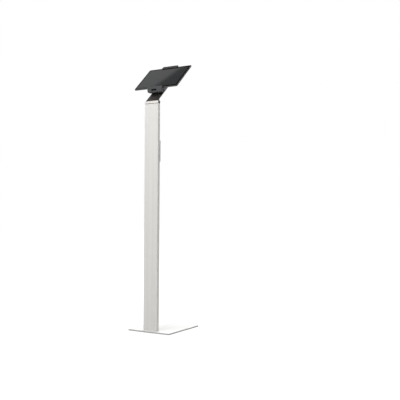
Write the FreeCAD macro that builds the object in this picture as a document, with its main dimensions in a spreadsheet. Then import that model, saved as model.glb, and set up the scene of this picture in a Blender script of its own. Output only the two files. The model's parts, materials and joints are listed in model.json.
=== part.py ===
# Tablet floor stand: thin base plate, flat slotted column, bent neck, lockable clamp head, tablet
# and cable box. Millimetres and degrees. +X is the user's right, +Y points away from the user and
# +Z is up. The origin is on the floor under the middle of the base plate.

import FreeCAD, Part
import math
import os
from types import SimpleNamespace

import Sketcher

Vector = FreeCAD.Vector

# Driving dimensions: name, value, meaning
SIZES = [
    ("plate_width", 225, "base plate from side to side"),
    ("plate_depth", 250, "base plate from front to rear"),
    ("plate_thickness", 6, "base plate"),
    ("plate_corner", 2, "radius of the base plate's corners"),
    ("plate_edge", 0.8, "rounding of the base plate's upper edge"),
    ("pad_radius", 12, "rubber pad"),
    ("pad_proud", 1, "how far a rubber pad stands below the plate"),
    ("pad_recess", 1.5, "how deep a rubber pad sits in the plate"),
    ("pad_inset", 20, "pad centre from the plate's edges"),
    ("column_width", 75, "column from side to side"),
    ("column_depth", 16, "column from front to rear"),
    ("column_height", 1036, "column profile's length"),
    ("column_front_inset", 15, "column's front face behind the plate's front edge"),
    ("column_wall", 2, "outer walls of the column"),
    ("column_web", 1.6, "inner walls of the column"),
    ("column_corner", 1, "radius of the column's outer corners"),
    ("slot_width", 7, "mouth of the rear slot"),
    ("channel_width", 14, "room behind the slot's lips, from side to side"),
    ("channel_depth", 5, "room behind the slot's lips, from front to rear"),
    ("tenon_clearance", 0.25, "blocks inside the column, per side"),
    ("foot_block_height", 45, "blocks in the column's foot"),
    ("base_screw_radius", 3, "screws through the plate"),
    ("base_screw_head", 6, "radius of a countersunk head under the plate"),
    ("base_screw_length", 18, "screws through the plate"),
    ("foot_lock_height", 17, "foot lock screw above the plate"),
    ("foot_lock_side", 16.3, "foot lock screw from the column's middle"),
    ("foot_lock_radius", 3, "foot lock screw"),
    ("seam_gap", 2, "shadow seam between the column and the neck"),
    ("seam_inset", 1.5, "how far the seam lies behind the column's faces"),
    ("band_height", 10.5, "upright band of the neck under its bend"),
    ("tenon_length", 40, "neck block's side tenons"),
    ("middle_tenon_length", 60, "neck block's middle tenon"),
    ("neck_lock_radius", 2.5, "grub screws in the slot's floor"),
    ("neck_lock_drop", 20, "upper grub screw below the column's top"),
    ("neck_lock_pitch", 25, "grub screws one above the other"),
    ("neck_thickness", 4, "neck plate"),
    ("neck_length", 192, "neck from its bend to its upper end"),
    ("neck_tilt", 43, "neck and tablet above the horizontal, in degrees"),
    ("neck_bend_radius", 2, "outer radius of the neck's bend"),
    ("neck_arm_width", 66, "sloping neck from side to side"),
    ("rear_leg_thickness", 2.5, "neck's short rear leg"),
    ("block_side_inset", 0.6, "neck block's sides behind the column's sides"),
    ("cable_way_width", 26, "notch for a cable at the top of the slot"),
    ("cable_way_height", 5, "notch for a cable above the seam"),
    ("neck_screw_side", 27, "neck screws from the middle"),
    ("neck_screw_radius", 2, "neck screws"),
    ("neck_screw_head", 4, "radius of the neck screws' heads"),
    ("neck_screw_length", 8, "neck screws"),
    ("pivot_distance", 151, "head's pivot up the neck from the bend"),
    ("pivot_radius", 8, "pivot stud"),
    ("pivot_clearance", 0.05, "running clearance round the pivot stud"),
    ("washer_radius", 20, "friction washer"),
    ("washer_thickness", 1.2, "friction washer"),
    ("neck_gap", 1.5, "gap between the neck and the rear shell"),
    ("boss_radius", 15, "rear shell's boss round the pivot"),
    ("boss_height", 10.5, "rear shell's boss round the pivot"),
    ("spring_washer_radius", 13, "spring washer on the boss"),
    ("spring_washer_thickness", 1, "spring washer on the boss"),
    ("pivot_nut_width", 24, "pivot nut across its flats"),
    ("pivot_nut_height", 4.5, "pivot nut"),
    ("head_width", 84, "housing and lower jaw from side to side"),
    ("upper_jaw_width", 90, "upper jaw from side to side"),
    ("head_corner", 8, "radius of the housing's corners seen from the front"),
    ("head_rim", 7, "rounding of the housing's rear edges"),
    ("shell_depth", 18.5, "rear shell"),
    ("shell_wall", 3, "rear shell's walls"),
    ("shell_floor", 3, "rear shell's rear wall"),
    ("shell_end_overlap", 3, "upper end of the shell below the tablet's upper edge"),
    ("jaw_seat_drop", 1.5, "lower jaw's seat behind the front plate's rear face"),
    ("front_plate_thickness", 2, "steel plate behind the tablet"),
    ("front_plate_inset", 0.5, "front plate's sides behind the housing's sides"),
    ("plate_screw_inset", 4, "front plate screws from the housing's sides"),
    ("post_radius", 3.4, "posts for the front plate screws"),
    ("plate_screw_radius", 1.5, "front plate screws"),
    ("plate_screw_head", 3, "radius of the front plate screws' heads"),
    ("plate_screw_length", 10, "front plate screws"),
    ("rest_pad_width", 60, "rubber rest pad"),
    ("rest_pad_inset", 15, "rest pad inside the tablet's edges"),
    ("rest_pad_thickness", 1, "rubber rest pad"),
    ("tablet_width", 240, "tablet's long side"),
    ("tablet_height", 170, "tablet's short side"),
    ("tablet_thickness", 7, "tablet"),
    ("tablet_corner", 5, "radius of the tablet's corners"),
    ("tablet_edge", 2.5, "rounding of the tablet's rear edge"),
    ("glass_inset", 1.2, "glass inside the tablet's edge"),
    ("glass_thickness", 0.8, "tablet's glass"),
    ("glass_clearance", 0.1, "round the tablet's glass"),
    ("port_width", 9, "tablet's charging port"),
    ("port_height", 3, "tablet's charging port"),
    ("port_depth", 6, "tablet's charging port"),
    ("jaw_wall", 6.5, "lower jaw's wall under the tablet"),
    ("upper_jaw_wall", 8, "upper jaw's wall over the tablet"),
    ("jaw_pad_thickness", 1, "rubber lining of the jaws"),
    ("jaw_pad_inset", 4, "jaw linings from the jaws' sides"),
    ("lip_gap", 0.3, "between the tablet's front and the jaws' lips"),
    ("lip_thickness", 3.7, "jaws' lips"),
    ("lip_overlap", 7, "jaws' lips over the tablet's front"),
    ("lip_edge", 1.2, "rounding of the jaws' front edges"),
    ("chin_height", 29, "lower jaw's upright front face"),
    ("chin_reach", 7.3, "chin's front edge before the tablet's glass, square to the glass"),
    ("chin_corner", 9, "radius of the chin's lower corners seen from the front"),
    ("chin_edge", 4, "rounding of the chin's front edges"),
    ("connector_slot_width", 29, "slot in the lower jaw"),
    ("connector_slot_height", 7.5, "slot in the lower jaw"),
    ("connector_slot_side", -3.5, "slot's middle from the jaw's middle"),
    ("connector_slot_rise", 2.5, "slot above the jaw's seat"),
    ("connector_wall", 3, "lower jaw's wall at the slot"),
    ("jaw_screw_side", 34, "lower jaw screws from the middle"),
    ("jaw_screw_radius", 1.5, "screws in the jaws"),
    ("jaw_screw_head", 2.8, "radius of the jaw screws' heads"),
    ("jaw_screw_head_height", 2.2, "jaw screws' heads"),
    ("lower_jaw_screw_length", 22, "lower jaw screws under the head"),
    ("upper_jaw_screw_length", 10, "upper jaw screws under the head"),
    ("slide_leg_inner", 22, "slide's legs, inner edge from the middle"),
    ("slide_leg_width", 12, "slide's legs"),
    ("slide_thickness", 4, "slide"),
    ("slide_leg_rise", 9, "slide above the shell's rear face"),
    ("slide_leg_end", 4, "lower end of the slide's legs above the tablet's lower edge"),
    ("slide_bar_width", 7.5, "slide's cross bar in the upper jaw"),
    ("slide_clearance", 0.4, "round the slide's legs"),
    ("guide_wall", 3, "slide guides beside the legs"),
    ("guide_length", 14, "slide guides"),
    ("lower_guide_height", 70, "lower slide guides above the tablet's lower edge"),
    ("upper_guide_drop", 28, "upper slide guides below the shell's upper end"),
    ("jaw_travel", 45, "upper jaw's travel"),
    ("rack_pitch", 5, "rack teeth"),
    ("rack_depth", 2.5, "rack teeth"),
    ("rack_clearance", 0.2, "between rack and pawl when they mesh"),
    ("pawl_teeth", 3, "number of teeth on the pawl"),
    ("pawl_width", 12, "pawl behind its teeth"),
    ("pawl_length", 48, "pawl"),
    ("pawl_height", 20, "lower end of the pawl above the tablet's lower edge"),
    ("pawl_first_tooth", 51.5, "pawl's first tooth above the tablet's lower edge"),
    ("pawl_stop", 3, "ribs at the pawl's ends"),
    ("seat_clearance", 0.3, "between the pawl and its seat"),
    ("lock_side", 13, "lock from the middle"),
    ("lock_rise", 10.5, "lock above the shell's rear face"),
    ("lock_sleeve_radius", 5.5, "lock's sleeve"),
    ("lock_sleeve_length", 21.5, "lock's sleeve"),
    ("lock_plug_radius", 4, "lock's turning plug"),
    ("lock_plug_length", 26, "lock's turning plug"),
    ("lock_clearance", 0.05, "running clearance round the lock's plug"),
    ("lock_throw", 2, "cam pin from the lock's axis"),
    ("key_way_clearance", 0.5, "bore through the chin round the lock"),
    ("cam_pin_radius", 1.2, "cam pin"),
    ("cam_pin_length", 6.5, "cam pin"),
    ("cam_slot_clearance", 0.2, "between the cam pin and the pawl's slot"),
    ("lock_nut_width", 14, "lock nut across its flats"),
    ("lock_nut_height", 4, "lock nut"),
    ("key_slot_width", 1.2, "key slot"),
    ("key_slot_length", 5.5, "key slot"),
    ("key_slot_depth", 6, "key slot"),
    ("box_width", 65, "cable box from side to side"),
    ("box_height", 103, "cable box"),
    ("box_depth", 12, "cable box from the column's face"),
    ("box_wall", 2, "cable box's walls"),
    ("box_corner", 6, "radius of the cable box's corners"),
    ("box_edge", 2.2, "rounding of the cable box's outer edges"),
    ("box_gap", 0.3, "between the column and the cable box"),
    ("box_centre", 819, "cable box's middle above the plate"),
    ("box_exit_height", 10, "cable exits at the box's sides"),
    ("box_exit_depth", 6, "cable exits, from front to rear"),
    ("box_exit_offset", 38, "cable exits above and below the box's middle"),
    ("carriage_thickness", 2, "cable box's back"),
    ("carriage_clearance", 0.3, "round the cable box's back"),
    ("carriage_key_clearance", 0.3, "carriage's key in the slot, per side"),
    ("slot_nut_length", 14, "nuts in the slot"),
    ("slot_nut_thickness", 3.4, "nuts in the slot"),
    ("slot_nut_offset", 30, "nuts above and below the box's middle"),
    ("box_screw_radius", 2, "screws into the slot nuts"),
    ("box_screw_head", 3.8, "radius of those screws' heads"),
    ("box_screw_head_height", 2.4, "those screws' heads"),
    ("key_thickness", 2.6, "tablet's keys, from front to rear"),
    ("key_proud", 0.5, "tablet's keys above the edge"),
    ("key_travel", 0.4, "tablet's keys"),
    ("key_depth", 1.6, "tablet's keys below the edge"),
    ("key_clearance", 0.2, "round the tablet's keys"),
    ("power_key_length", 12, "tablet's power key"),
    ("power_key_side", 102, "power key's middle from the tablet's middle"),
    ("volume_key_length", 24, "tablet's volume key"),
    ("volume_key_side", 76, "volume key's middle from the tablet's middle"),
]


class Measure:
    """A size that knows its number and the spreadsheet formula that it stands for."""

    def __init__(self, number, formula):
        self.number = float(number)
        self.formula = formula

    def joined(self, other, sign, number):
        return Measure(number, "(%s %s %s)" % (self.formula, sign, measure(other).formula))

    def __add__(self, other):
        return self.joined(other, "+", self.number + measure(other).number)

    def __sub__(self, other):
        return self.joined(other, "-", self.number - measure(other).number)

    def __mul__(self, other):
        return self.joined(other, "*", self.number * measure(other).number)

    def __truediv__(self, other):
        return self.joined(other, "/", self.number / measure(other).number)

    def __neg__(self):
        return measure(0) - self

    def __radd__(self, other):
        return measure(other) + self

    def __rsub__(self, other):
        return measure(other) - self

    def __rmul__(self, other):
        return measure(other) * self


def measure(value):
    """Turn a plain number into a Measure and leave a Measure as it is."""
    if isinstance(value, Measure):
        return value
    return Measure(value, str(value))


def cosine(angle):
    return Measure(math.cos(math.radians(angle.number)), "cos(%s)" % angle.formula)


def sine(angle):
    return Measure(math.sin(math.radians(angle.number)), "sin(%s)" % angle.formula)


def tangent(angle):
    return Measure(math.tan(math.radians(angle.number)), "tan(%s)" % angle.formula)


doc = FreeCAD.newDocument("TabletFloorStand")


def make_sheet():
    """Fill the spreadsheet and return its cells as Measures."""
    sheet = doc.addObject("Spreadsheet::Sheet", "Sizes")
    for row, (name, value, meaning) in enumerate(SIZES, start=1):
        sheet.set("A%d" % row, name)
        sheet.set("B%d" % row, str(value))
        sheet.set("C%d" % row, meaning)
        sheet.setAlias("B%d" % row, name)
    doc.recompute()
    return SimpleNamespace(**{name: Measure(value, "Sizes." + name) for name, value, meaning in SIZES})


size = make_sheet()

# Levels of the upright parts
plate_bottom = size.pad_proud
plate_top = plate_bottom + size.plate_thickness
column_front = size.column_front_inset - size.plate_depth / 2
column_rear = column_front + size.column_depth
column_top = plate_top + size.column_height
band_bottom = column_top + size.seam_gap
bend_height = band_bottom + size.band_height
channel_floor = column_rear - size.column_wall - size.channel_depth
chamber_front = column_front + size.column_wall
chamber_rear = column_rear - size.column_wall
side_chamber_inner = size.channel_width / 2 + size.column_web
side_chamber_outer = size.column_width / 2 - size.column_wall
middle_chamber_rear = channel_floor - size.column_web
box_middle = plate_top + size.box_centre

# Places in the head, measured up the neck from its bend and out from the neck's front face
tablet_low = size.pivot_distance - size.tablet_height / 2
tablet_high = size.pivot_distance + size.tablet_height / 2
head_low = tablet_low - size.jaw_pad_thickness - size.jaw_wall
head_high = tablet_high + size.jaw_pad_thickness + size.upper_jaw_wall
shell_high = tablet_high - size.shell_end_overlap
cap_low = shell_high + size.seat_clearance
shell_back = size.neck_gap
shell_front = shell_back + size.shell_depth
jaw_seat = shell_front - size.jaw_seat_drop
plate_front = shell_front + size.front_plate_thickness
tablet_back = plate_front + size.rest_pad_thickness
tablet_front = tablet_back + size.tablet_thickness
lip_back = tablet_front + size.lip_gap
lip_front = lip_back + size.lip_thickness
slide_back = shell_back + size.slide_leg_rise
slide_front = slide_back + size.slide_thickness
slide_leg_outer = size.slide_leg_inner + size.slide_leg_width
lock_out = shell_back + size.lock_rise


# General makers

def bind(target, name, value):
    """Tie a property of an object to its formula in the spreadsheet."""
    target.setExpression(name, measure(value).formula)


def make_body(label):
    part = doc.addObject("PartDesign::Body", label)
    part.Label = label
    return part


def make_sketch(part, name, role, height=None):
    """Start a sketch on one of the body's own planes, raised along the plane's normal."""
    drawing = part.newObject("Sketcher::SketchObject", name)
    base = next(plane for plane in part.Origin.OriginFeatures if plane.Role == role)
    drawing.AttachmentSupport = [(base, "")]
    drawing.MapMode = "FlatFace"
    if height is not None:
        bind(drawing, "AttachmentOffset.Base.z", height)
    return drawing


def fix_point(drawing, geometry, end, across, along):
    """Hold one point of a sketch at the given place, by formula."""
    for kind, value in (("DistanceX", measure(across)), ("DistanceY", measure(along))):
        index = drawing.addConstraint(Sketcher.Constraint(kind, -1, 1, geometry, end, value.number))
        bind(drawing, "Constraints[%d]" % index, value)


def draw_outline(drawing, points):
    """Draw a closed outline of straight lines through the points."""
    points = [(measure(across), measure(along)) for across, along in points]
    lines = []
    for start, finish in zip(points, points[1:] + points[:1]):
        line = Part.LineSegment(Vector(start[0].number, start[1].number, 0),
                                Vector(finish[0].number, finish[1].number, 0))
        lines.append(drawing.addGeometry(line, False))
    for line, following in zip(lines, lines[1:] + lines[:1]):
        drawing.addConstraint(Sketcher.Constraint("Coincident", line, 2, following, 1))
    for line, (across, along) in zip(lines, points):
        fix_point(drawing, line, 1, across, along)


def draw_rectangle(drawing, left, right, low, high):
    draw_outline(drawing, [(left, low), (right, low), (right, high), (left, high)])


def draw_circle(drawing, across, along, radius):
    across, along, radius = measure(across), measure(along), measure(radius)
    circle = Part.Circle(Vector(across.number, along.number, 0), Vector(0, 0, 1), radius.number)
    index = drawing.addGeometry(circle, False)
    fix_point(drawing, index, 3, across, along)
    rule = drawing.addConstraint(Sketcher.Constraint("Radius", index, radius.number))
    bind(drawing, "Constraints[%d]" % rule, radius)


def draw_hexagon(drawing, across, along, width):
    """Draw a hexagon with the given width across its flats."""
    corner_radius = width / (2 * cosine(measure(30)))
    points = []
    for corner in range(6):
        turn = measure(60 * corner)
        points.append((across + corner_radius * cosine(turn), along + corner_radius * sine(turn)))
    draw_outline(drawing, points)


def pad(part, drawing, length, against=False, both_ways=False):
    """Raise a sketch along its plane's normal, against it, or half each way."""
    feature = part.newObject("PartDesign::Pad", drawing.Name + "_pad")
    feature.Profile = drawing
    bind(feature, "Length", length)
    feature.Reversed = against
    if both_ways:
        feature.SideType = "Symmetric"
    doc.recompute()
    return feature


def pocket(part, drawing, depth, along=False, both_ways=False):
    """Cut a sketch into the body against its plane's normal, or along it, and check that it cut."""
    volume = part.Shape.Volume
    feature = part.newObject("PartDesign::Pocket", drawing.Name + "_pocket")
    feature.Profile = drawing
    bind(feature, "Length", depth)
    feature.Reversed = along
    if both_ways:
        feature.SideType = "Symmetric"
    doc.recompute()
    if part.Shape.Volume >= volume:
        raise RuntimeError("%s cuts nothing" % feature.Name)
    return feature


def edge_names(feature, wanted):
    """Names of the feature's edges for which wanted(edge) holds."""
    return ["Edge%d" % number for number, edge in enumerate(feature.Shape.Edges, start=1) if wanted(edge)]


def round_edges(part, feature, wanted, radius, kind="Fillet"):
    """Round or bevel the wanted edges of the body's last feature."""
    names = edge_names(feature, wanted)
    if not names:
        raise RuntimeError("no edge to round on %s" % part.Label)
    dressed = part.newObject("PartDesign::" + kind, "%s_%s%d" % (part.Name, kind.lower(), len(part.Group)))
    dressed.Base = (feature, names)
    bind(dressed, "Radius" if kind == "Fillet" else "Size", radius)
    doc.recompute()
    return dressed


def runs_along(edge, axis):
    """Whether a straight edge runs along the axis numbered 0, 1 or 2."""
    if not isinstance(edge.Curve, Part.Line):
        return False
    direction = edge.Curve.Direction
    return abs(abs(direction[axis]) - 1) < 1e-6


def lies_at(edge, axis, value):
    """Whether the whole edge lies at one value of an axis."""
    box = edge.BoundBox
    low = (box.XMin, box.YMin, box.ZMin)[axis]
    high = (box.XMax, box.YMax, box.ZMax)[axis]
    number = measure(value).number
    return abs(low - number) < 1e-4 and abs(high - number) < 1e-4


def place(target, across=0, up=0, out=0):
    """Stand a part of the head at a place up the neck and out from it, tilted with the neck."""
    across, up, out = measure(across), measure(up), measure(out)
    spread = column_front + up * cosine(size.neck_tilt) - out * sine(size.neck_tilt)
    rise = bend_height + up * sine(size.neck_tilt) + out * cosine(size.neck_tilt)
    turn = FreeCAD.Rotation(Vector(1, 0, 0), size.neck_tilt.number)
    target.Placement = FreeCAD.Placement(Vector(across.number, spread.number, rise.number), turn)
    bind(target, "Placement.Base.x", across)
    bind(target, "Placement.Base.y", spread)
    bind(target, "Placement.Base.z", rise)
    bind(target, "Placement.Rotation.Angle", size.neck_tilt)


def make_ring(label, inner, outer, height):
    """A flat ring on its own origin, from its lower face up."""
    ring = make_body(label)
    drawing = make_sketch(ring, label + "_section", "XZ_Plane")
    draw_rectangle(drawing, inner, outer, measure(0), height)
    spun = ring.newObject("PartDesign::Revolution", label + "_turned")
    spun.Profile = drawing
    spun.ReferenceAxis = (drawing, ["V_Axis"])
    doc.recompute()
    return ring


def turned(profile):
    """Solid turned about the Z axis from pairs of radius and height."""
    points = [Vector(radius, 0, height) for radius, height in profile]
    face = Part.Face(Part.makePolygon(points + points[:1]))
    return face.revolve(Vector(0, 0, 0), Vector(0, 0, 1), 360)


def countersunk_screw(radius, head, length):
    """Countersunk screw with its flat head at the origin and its tip up, with a hexagon socket."""
    radius, head, length = radius.number, head.number, length.number
    body = turned([(0, 0), (head, 0), (radius, head - radius), (radius, length), (0, length)])
    return body.cut(hexagon_bar(radius, radius))


def headed_screw(radius, head, head_height, length):
    """Cylinder-head screw with its head below the origin and its shank up, with a hexagon socket."""
    radius, head, height, length = radius.number, head.number, head_height.number, length.number
    body = turned([(0, -height), (head, -height), (head, 0), (radius, 0), (radius, length), (0, length)])
    socket = hexagon_bar(radius, height / 2)
    socket.translate(Vector(0, 0, -height))
    return body.cut(socket)


def grub_screw(radius, length):
    """Headless screw from the origin up, with a hexagon socket in its lower end."""
    radius, length = radius.number, length.number
    body = turned([(0, 0), (radius, 0), (radius, length), (0, length)])
    return body.cut(hexagon_bar(radius * 0.6, length / 3))


def hexagon_bar(corner_radius, height):
    """Hexagonal bar from the origin up."""
    corners = [Vector(corner_radius * math.cos(math.radians(60 * number)),
                      corner_radius * math.sin(math.radians(60 * number)), 0) for number in range(6)]
    return Part.Face(Part.makePolygon(corners + corners[:1])).extrude(Vector(0, 0, height))


def make_group(label, pattern, places, direction):
    """Copies of one fastener at several places, all pointing the same way, as one sub-part."""
    turn = FreeCAD.Rotation(Vector(0, 0, 1), Vector(*direction))
    copies = []
    for spot in places:
        copy = pattern.copy()
        centre = Vector(*[measure(value).number for value in spot])
        copy.Placement = FreeCAD.Placement(centre, turn).multiply(copy.Placement)
        copies.append(copy)
    group = doc.addObject("Part::Feature", label)
    group.Label = label
    group.Shape = Part.makeCompound(copies)
    return group


# Base and foot

def pad_places():
    side = size.plate_width / 2 - size.pad_inset
    end = size.plate_depth / 2 - size.pad_inset
    return [(across, along) for across in (-side, side) for along in (-end, end)]


def base_screw_places():
    """Two screws into each foot block, in line in the column's middle plane."""
    middle = column_front + size.column_depth / 2
    block_width = side_chamber_outer - side_chamber_inner
    places = []
    for share in (0.25, 0.75):
        distance = side_chamber_inner + block_width * share
        places += [(-distance, middle), (distance, middle)]
    return places


def make_base_plate():
    plate = make_body("base_plate")
    outline = make_sketch(plate, "base_plate_outline", "XY_Plane", plate_bottom)
    draw_rectangle(outline, -size.plate_width / 2, size.plate_width / 2,
                   -size.plate_depth / 2, size.plate_depth / 2)
    slab = pad(plate, outline, size.plate_thickness)
    corners = round_edges(plate, slab, lambda edge: runs_along(edge, 2), size.plate_corner)
    round_edges(plate, corners, lambda edge: lies_at(edge, 2, plate_top), size.plate_edge)
    recesses = make_sketch(plate, "base_plate_recesses", "XY_Plane", plate_bottom)
    for across, along in pad_places():
        draw_circle(recesses, across, along, size.pad_radius)
    pocket(plate, recesses, size.pad_recess, along=True)
    holes = make_sketch(plate, "base_plate_holes", "XY_Plane", plate_bottom)
    for across, along in base_screw_places():
        draw_circle(holes, across, along, size.base_screw_radius)
    drilled = pocket(plate, holes, size.plate_thickness, along=True)
    round_edges(plate, drilled, lambda edge: is_hole_rim(edge, size.base_screw_radius, plate_bottom),
                size.base_screw_head - size.base_screw_radius, "Chamfer")
    return plate


def is_hole_rim(edge, radius, height):
    round_edge = isinstance(edge.Curve, Part.Circle) and abs(edge.Curve.Radius - radius.number) < 1e-4
    return round_edge and lies_at(edge, 2, height)


def make_base_pads():
    """Four rubber pads, each a short cylinder in its recess under the plate."""
    height = (size.pad_proud + size.pad_recess).number
    radius = size.pad_radius.number
    edge = height / 6
    puck = turned([(0, 0), (radius - edge, 0), (radius, edge), (radius, height), (0, height)])
    places = [(across, along, 0) for across, along in pad_places()]
    return make_group("base_pads", puck, places, (0, 0, 1))


def make_base_screws():
    screw = countersunk_screw(size.base_screw_radius, size.base_screw_head, size.base_screw_length)
    places = [(across, along, plate_bottom) for across, along in base_screw_places()]
    return make_group("base_screws", screw, places, (0, 0, 1))


def make_foot_blocks():
    """One block in each side chamber of the column's foot, drilled for the base screws."""
    blocks = make_body("foot_blocks")
    outline = make_sketch(blocks, "foot_blocks_outline", "XY_Plane", plate_top)
    inner = side_chamber_inner + size.tenon_clearance
    outer = side_chamber_outer - size.tenon_clearance
    front = chamber_front + size.tenon_clearance
    rear = chamber_rear - size.tenon_clearance
    for left, right in ((inner, outer), (-outer, -inner)):
        draw_rectangle(outline, left, right, front, rear)
    pad(blocks, outline, size.foot_block_height)
    holes = make_sketch(blocks, "foot_blocks_holes", "XY_Plane", plate_top)
    for across, along in base_screw_places():
        draw_circle(holes, across, along, size.base_screw_radius)
    pocket(blocks, holes, size.base_screw_length - size.plate_thickness, along=True)
    lock = make_sketch(blocks, "foot_blocks_lock", "XZ_Plane", -rear)
    draw_circle(lock, -size.foot_lock_side, plate_top + size.foot_lock_height, size.foot_lock_radius)
    pocket(blocks, lock, size.foot_lock_radius, along=True)
    return blocks


def make_foot_lock_screw():
    """Grub screw through the column's rear wall into the right foot block, just under flush."""
    sunk = size.column_wall / 8
    length = size.column_wall + size.tenon_clearance + size.foot_lock_radius - sunk
    screw = grub_screw(size.foot_lock_radius, length)
    spot = (-size.foot_lock_side, column_rear - sunk, plate_top + size.foot_lock_height)
    return make_group("foot_lock_screw", screw, [spot], (0, -1, 0))


# Column

def neck_lock_places():
    highest = column_top - size.neck_lock_drop
    return [highest, highest - size.neck_lock_pitch]


def make_column():
    column = make_body("column")
    section = make_sketch(column, "column_section", "XY_Plane", plate_top)
    half = size.column_width / 2
    mouth = size.slot_width / 2
    channel = size.channel_width / 2
    lip = chamber_rear
    draw_outline(section, [
        (-half, column_front), (half, column_front), (half, column_rear), (mouth, column_rear),
        (mouth, lip), (channel, lip), (channel, channel_floor), (-channel, channel_floor),
        (-channel, lip), (-mouth, lip), (-mouth, column_rear), (-half, column_rear)])
    for left, right in ((side_chamber_inner, side_chamber_outer), (-side_chamber_outer, -side_chamber_inner)):
        draw_rectangle(section, left, right, chamber_front, chamber_rear)
    draw_rectangle(section, -channel, channel, chamber_front, middle_chamber_rear)
    profile = pad(column, section, size.column_height)
    limit = half.number - 1e-3
    round_edges(column, profile,
                lambda edge: runs_along(edge, 2) and abs(edge.BoundBox.XMin) > limit, size.column_corner)
    foot_hole = make_sketch(column, "column_foot_hole", "XZ_Plane", -column_rear)
    draw_circle(foot_hole, -size.foot_lock_side, plate_top + size.foot_lock_height, size.foot_lock_radius)
    pocket(column, foot_hole, size.column_wall, along=True)
    neck_holes = make_sketch(column, "column_neck_holes", "XZ_Plane", -channel_floor)
    for height in neck_lock_places():
        draw_circle(neck_holes, 0, height, size.neck_lock_radius)
    pocket(column, neck_holes, size.column_web, along=True)
    return column


# Neck

def neck_underside(along):
    """Height of the neck plate's rear face above a place between the column's front and rear."""
    rise = (along - column_front) * tangent(size.neck_tilt)
    return bend_height + rise - size.neck_thickness / cosine(size.neck_tilt)


def trim_neck_sides(part, inset):
    """Narrow a part above the neck's bend, so that the sloping arm has shoulders on the legs."""
    strips = make_sketch(part, part.Name + "_shoulders", "XZ_Plane")
    inner = size.neck_arm_width / 2 - inset
    outer = size.column_width / 2
    top = bend_height + size.neck_length
    for left, right in ((inner, outer), (-outer, -inner)):
        draw_rectangle(strips, left, right, bend_height, top)
    return pocket(part, strips, size.neck_length * 2, both_ways=True)


def make_neck_block():
    """Wedge between the neck's legs, with a plinth in the seam and three tenons in the column."""
    block = make_body("neck_block")
    side = make_sketch(block, "neck_block_side", "YZ_Plane")
    front = column_front + size.neck_thickness
    rear = column_rear - size.rear_leg_thickness
    draw_outline(side, [(front, band_bottom), (rear, band_bottom),
                        (rear, neck_underside(rear)), (front, neck_underside(front))])
    pad(block, side, size.column_width - size.block_side_inset * 2, both_ways=True)
    plinth = make_sketch(block, "neck_block_plinth", "XY_Plane", band_bottom)
    half = size.column_width / 2 - size.seam_inset
    draw_rectangle(plinth, -half, half, column_front + size.seam_inset, column_rear - size.seam_inset)
    pad(block, plinth, size.seam_gap, against=True)
    trim_neck_sides(block, size.block_side_inset)
    gap = size.tenon_clearance
    sides = make_sketch(block, "neck_block_side_tenons", "XY_Plane", column_top)
    inner = side_chamber_inner + gap
    outer = side_chamber_outer - gap
    for left, right in ((inner, outer), (-outer, -inner)):
        draw_rectangle(sides, left, right, chamber_front + gap, chamber_rear - gap)
    pad(block, sides, size.tenon_length, against=True)
    middle = make_sketch(block, "neck_block_middle_tenon", "XY_Plane", column_top)
    width = size.channel_width / 2 - gap
    draw_rectangle(middle, -width, width, chamber_front + gap, middle_chamber_rear - gap)
    pad(block, middle, size.middle_tenon_length, against=True)
    cable_way = make_sketch(block, "neck_block_cable_way", "YZ_Plane")
    draw_rectangle(cable_way, channel_floor, column_rear, column_top, band_bottom + size.cable_way_height)
    pocket(block, cable_way, size.cable_way_width, both_ways=True)
    screw_holes = make_sketch(block, "neck_block_screw_holes", "XZ_Plane", -rear)
    for across in (-size.neck_screw_side, size.neck_screw_side):
        draw_circle(screw_holes, across, band_bottom + size.band_height / 2, size.neck_screw_radius)
    pocket(block, screw_holes, size.neck_screw_length - size.rear_leg_thickness, along=True)
    lock_holes = make_sketch(block, "neck_block_lock_holes", "XZ_Plane", -(middle_chamber_rear - gap))
    for height in neck_lock_places():
        draw_circle(lock_holes, 0, height, size.neck_lock_radius)
    pocket(block, lock_holes, size.neck_lock_radius, along=True)
    return block


def make_neck_lock_screws():
    """Grub screws through the slot's floor into the middle tenon."""
    length = size.column_web + size.tenon_clearance + size.neck_lock_radius
    screw = grub_screw(size.neck_lock_radius, length)
    places = [(0, channel_floor, height) for height in neck_lock_places()]
    return make_group("neck_lock_screws", screw, places, (0, -1, 0))


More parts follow.
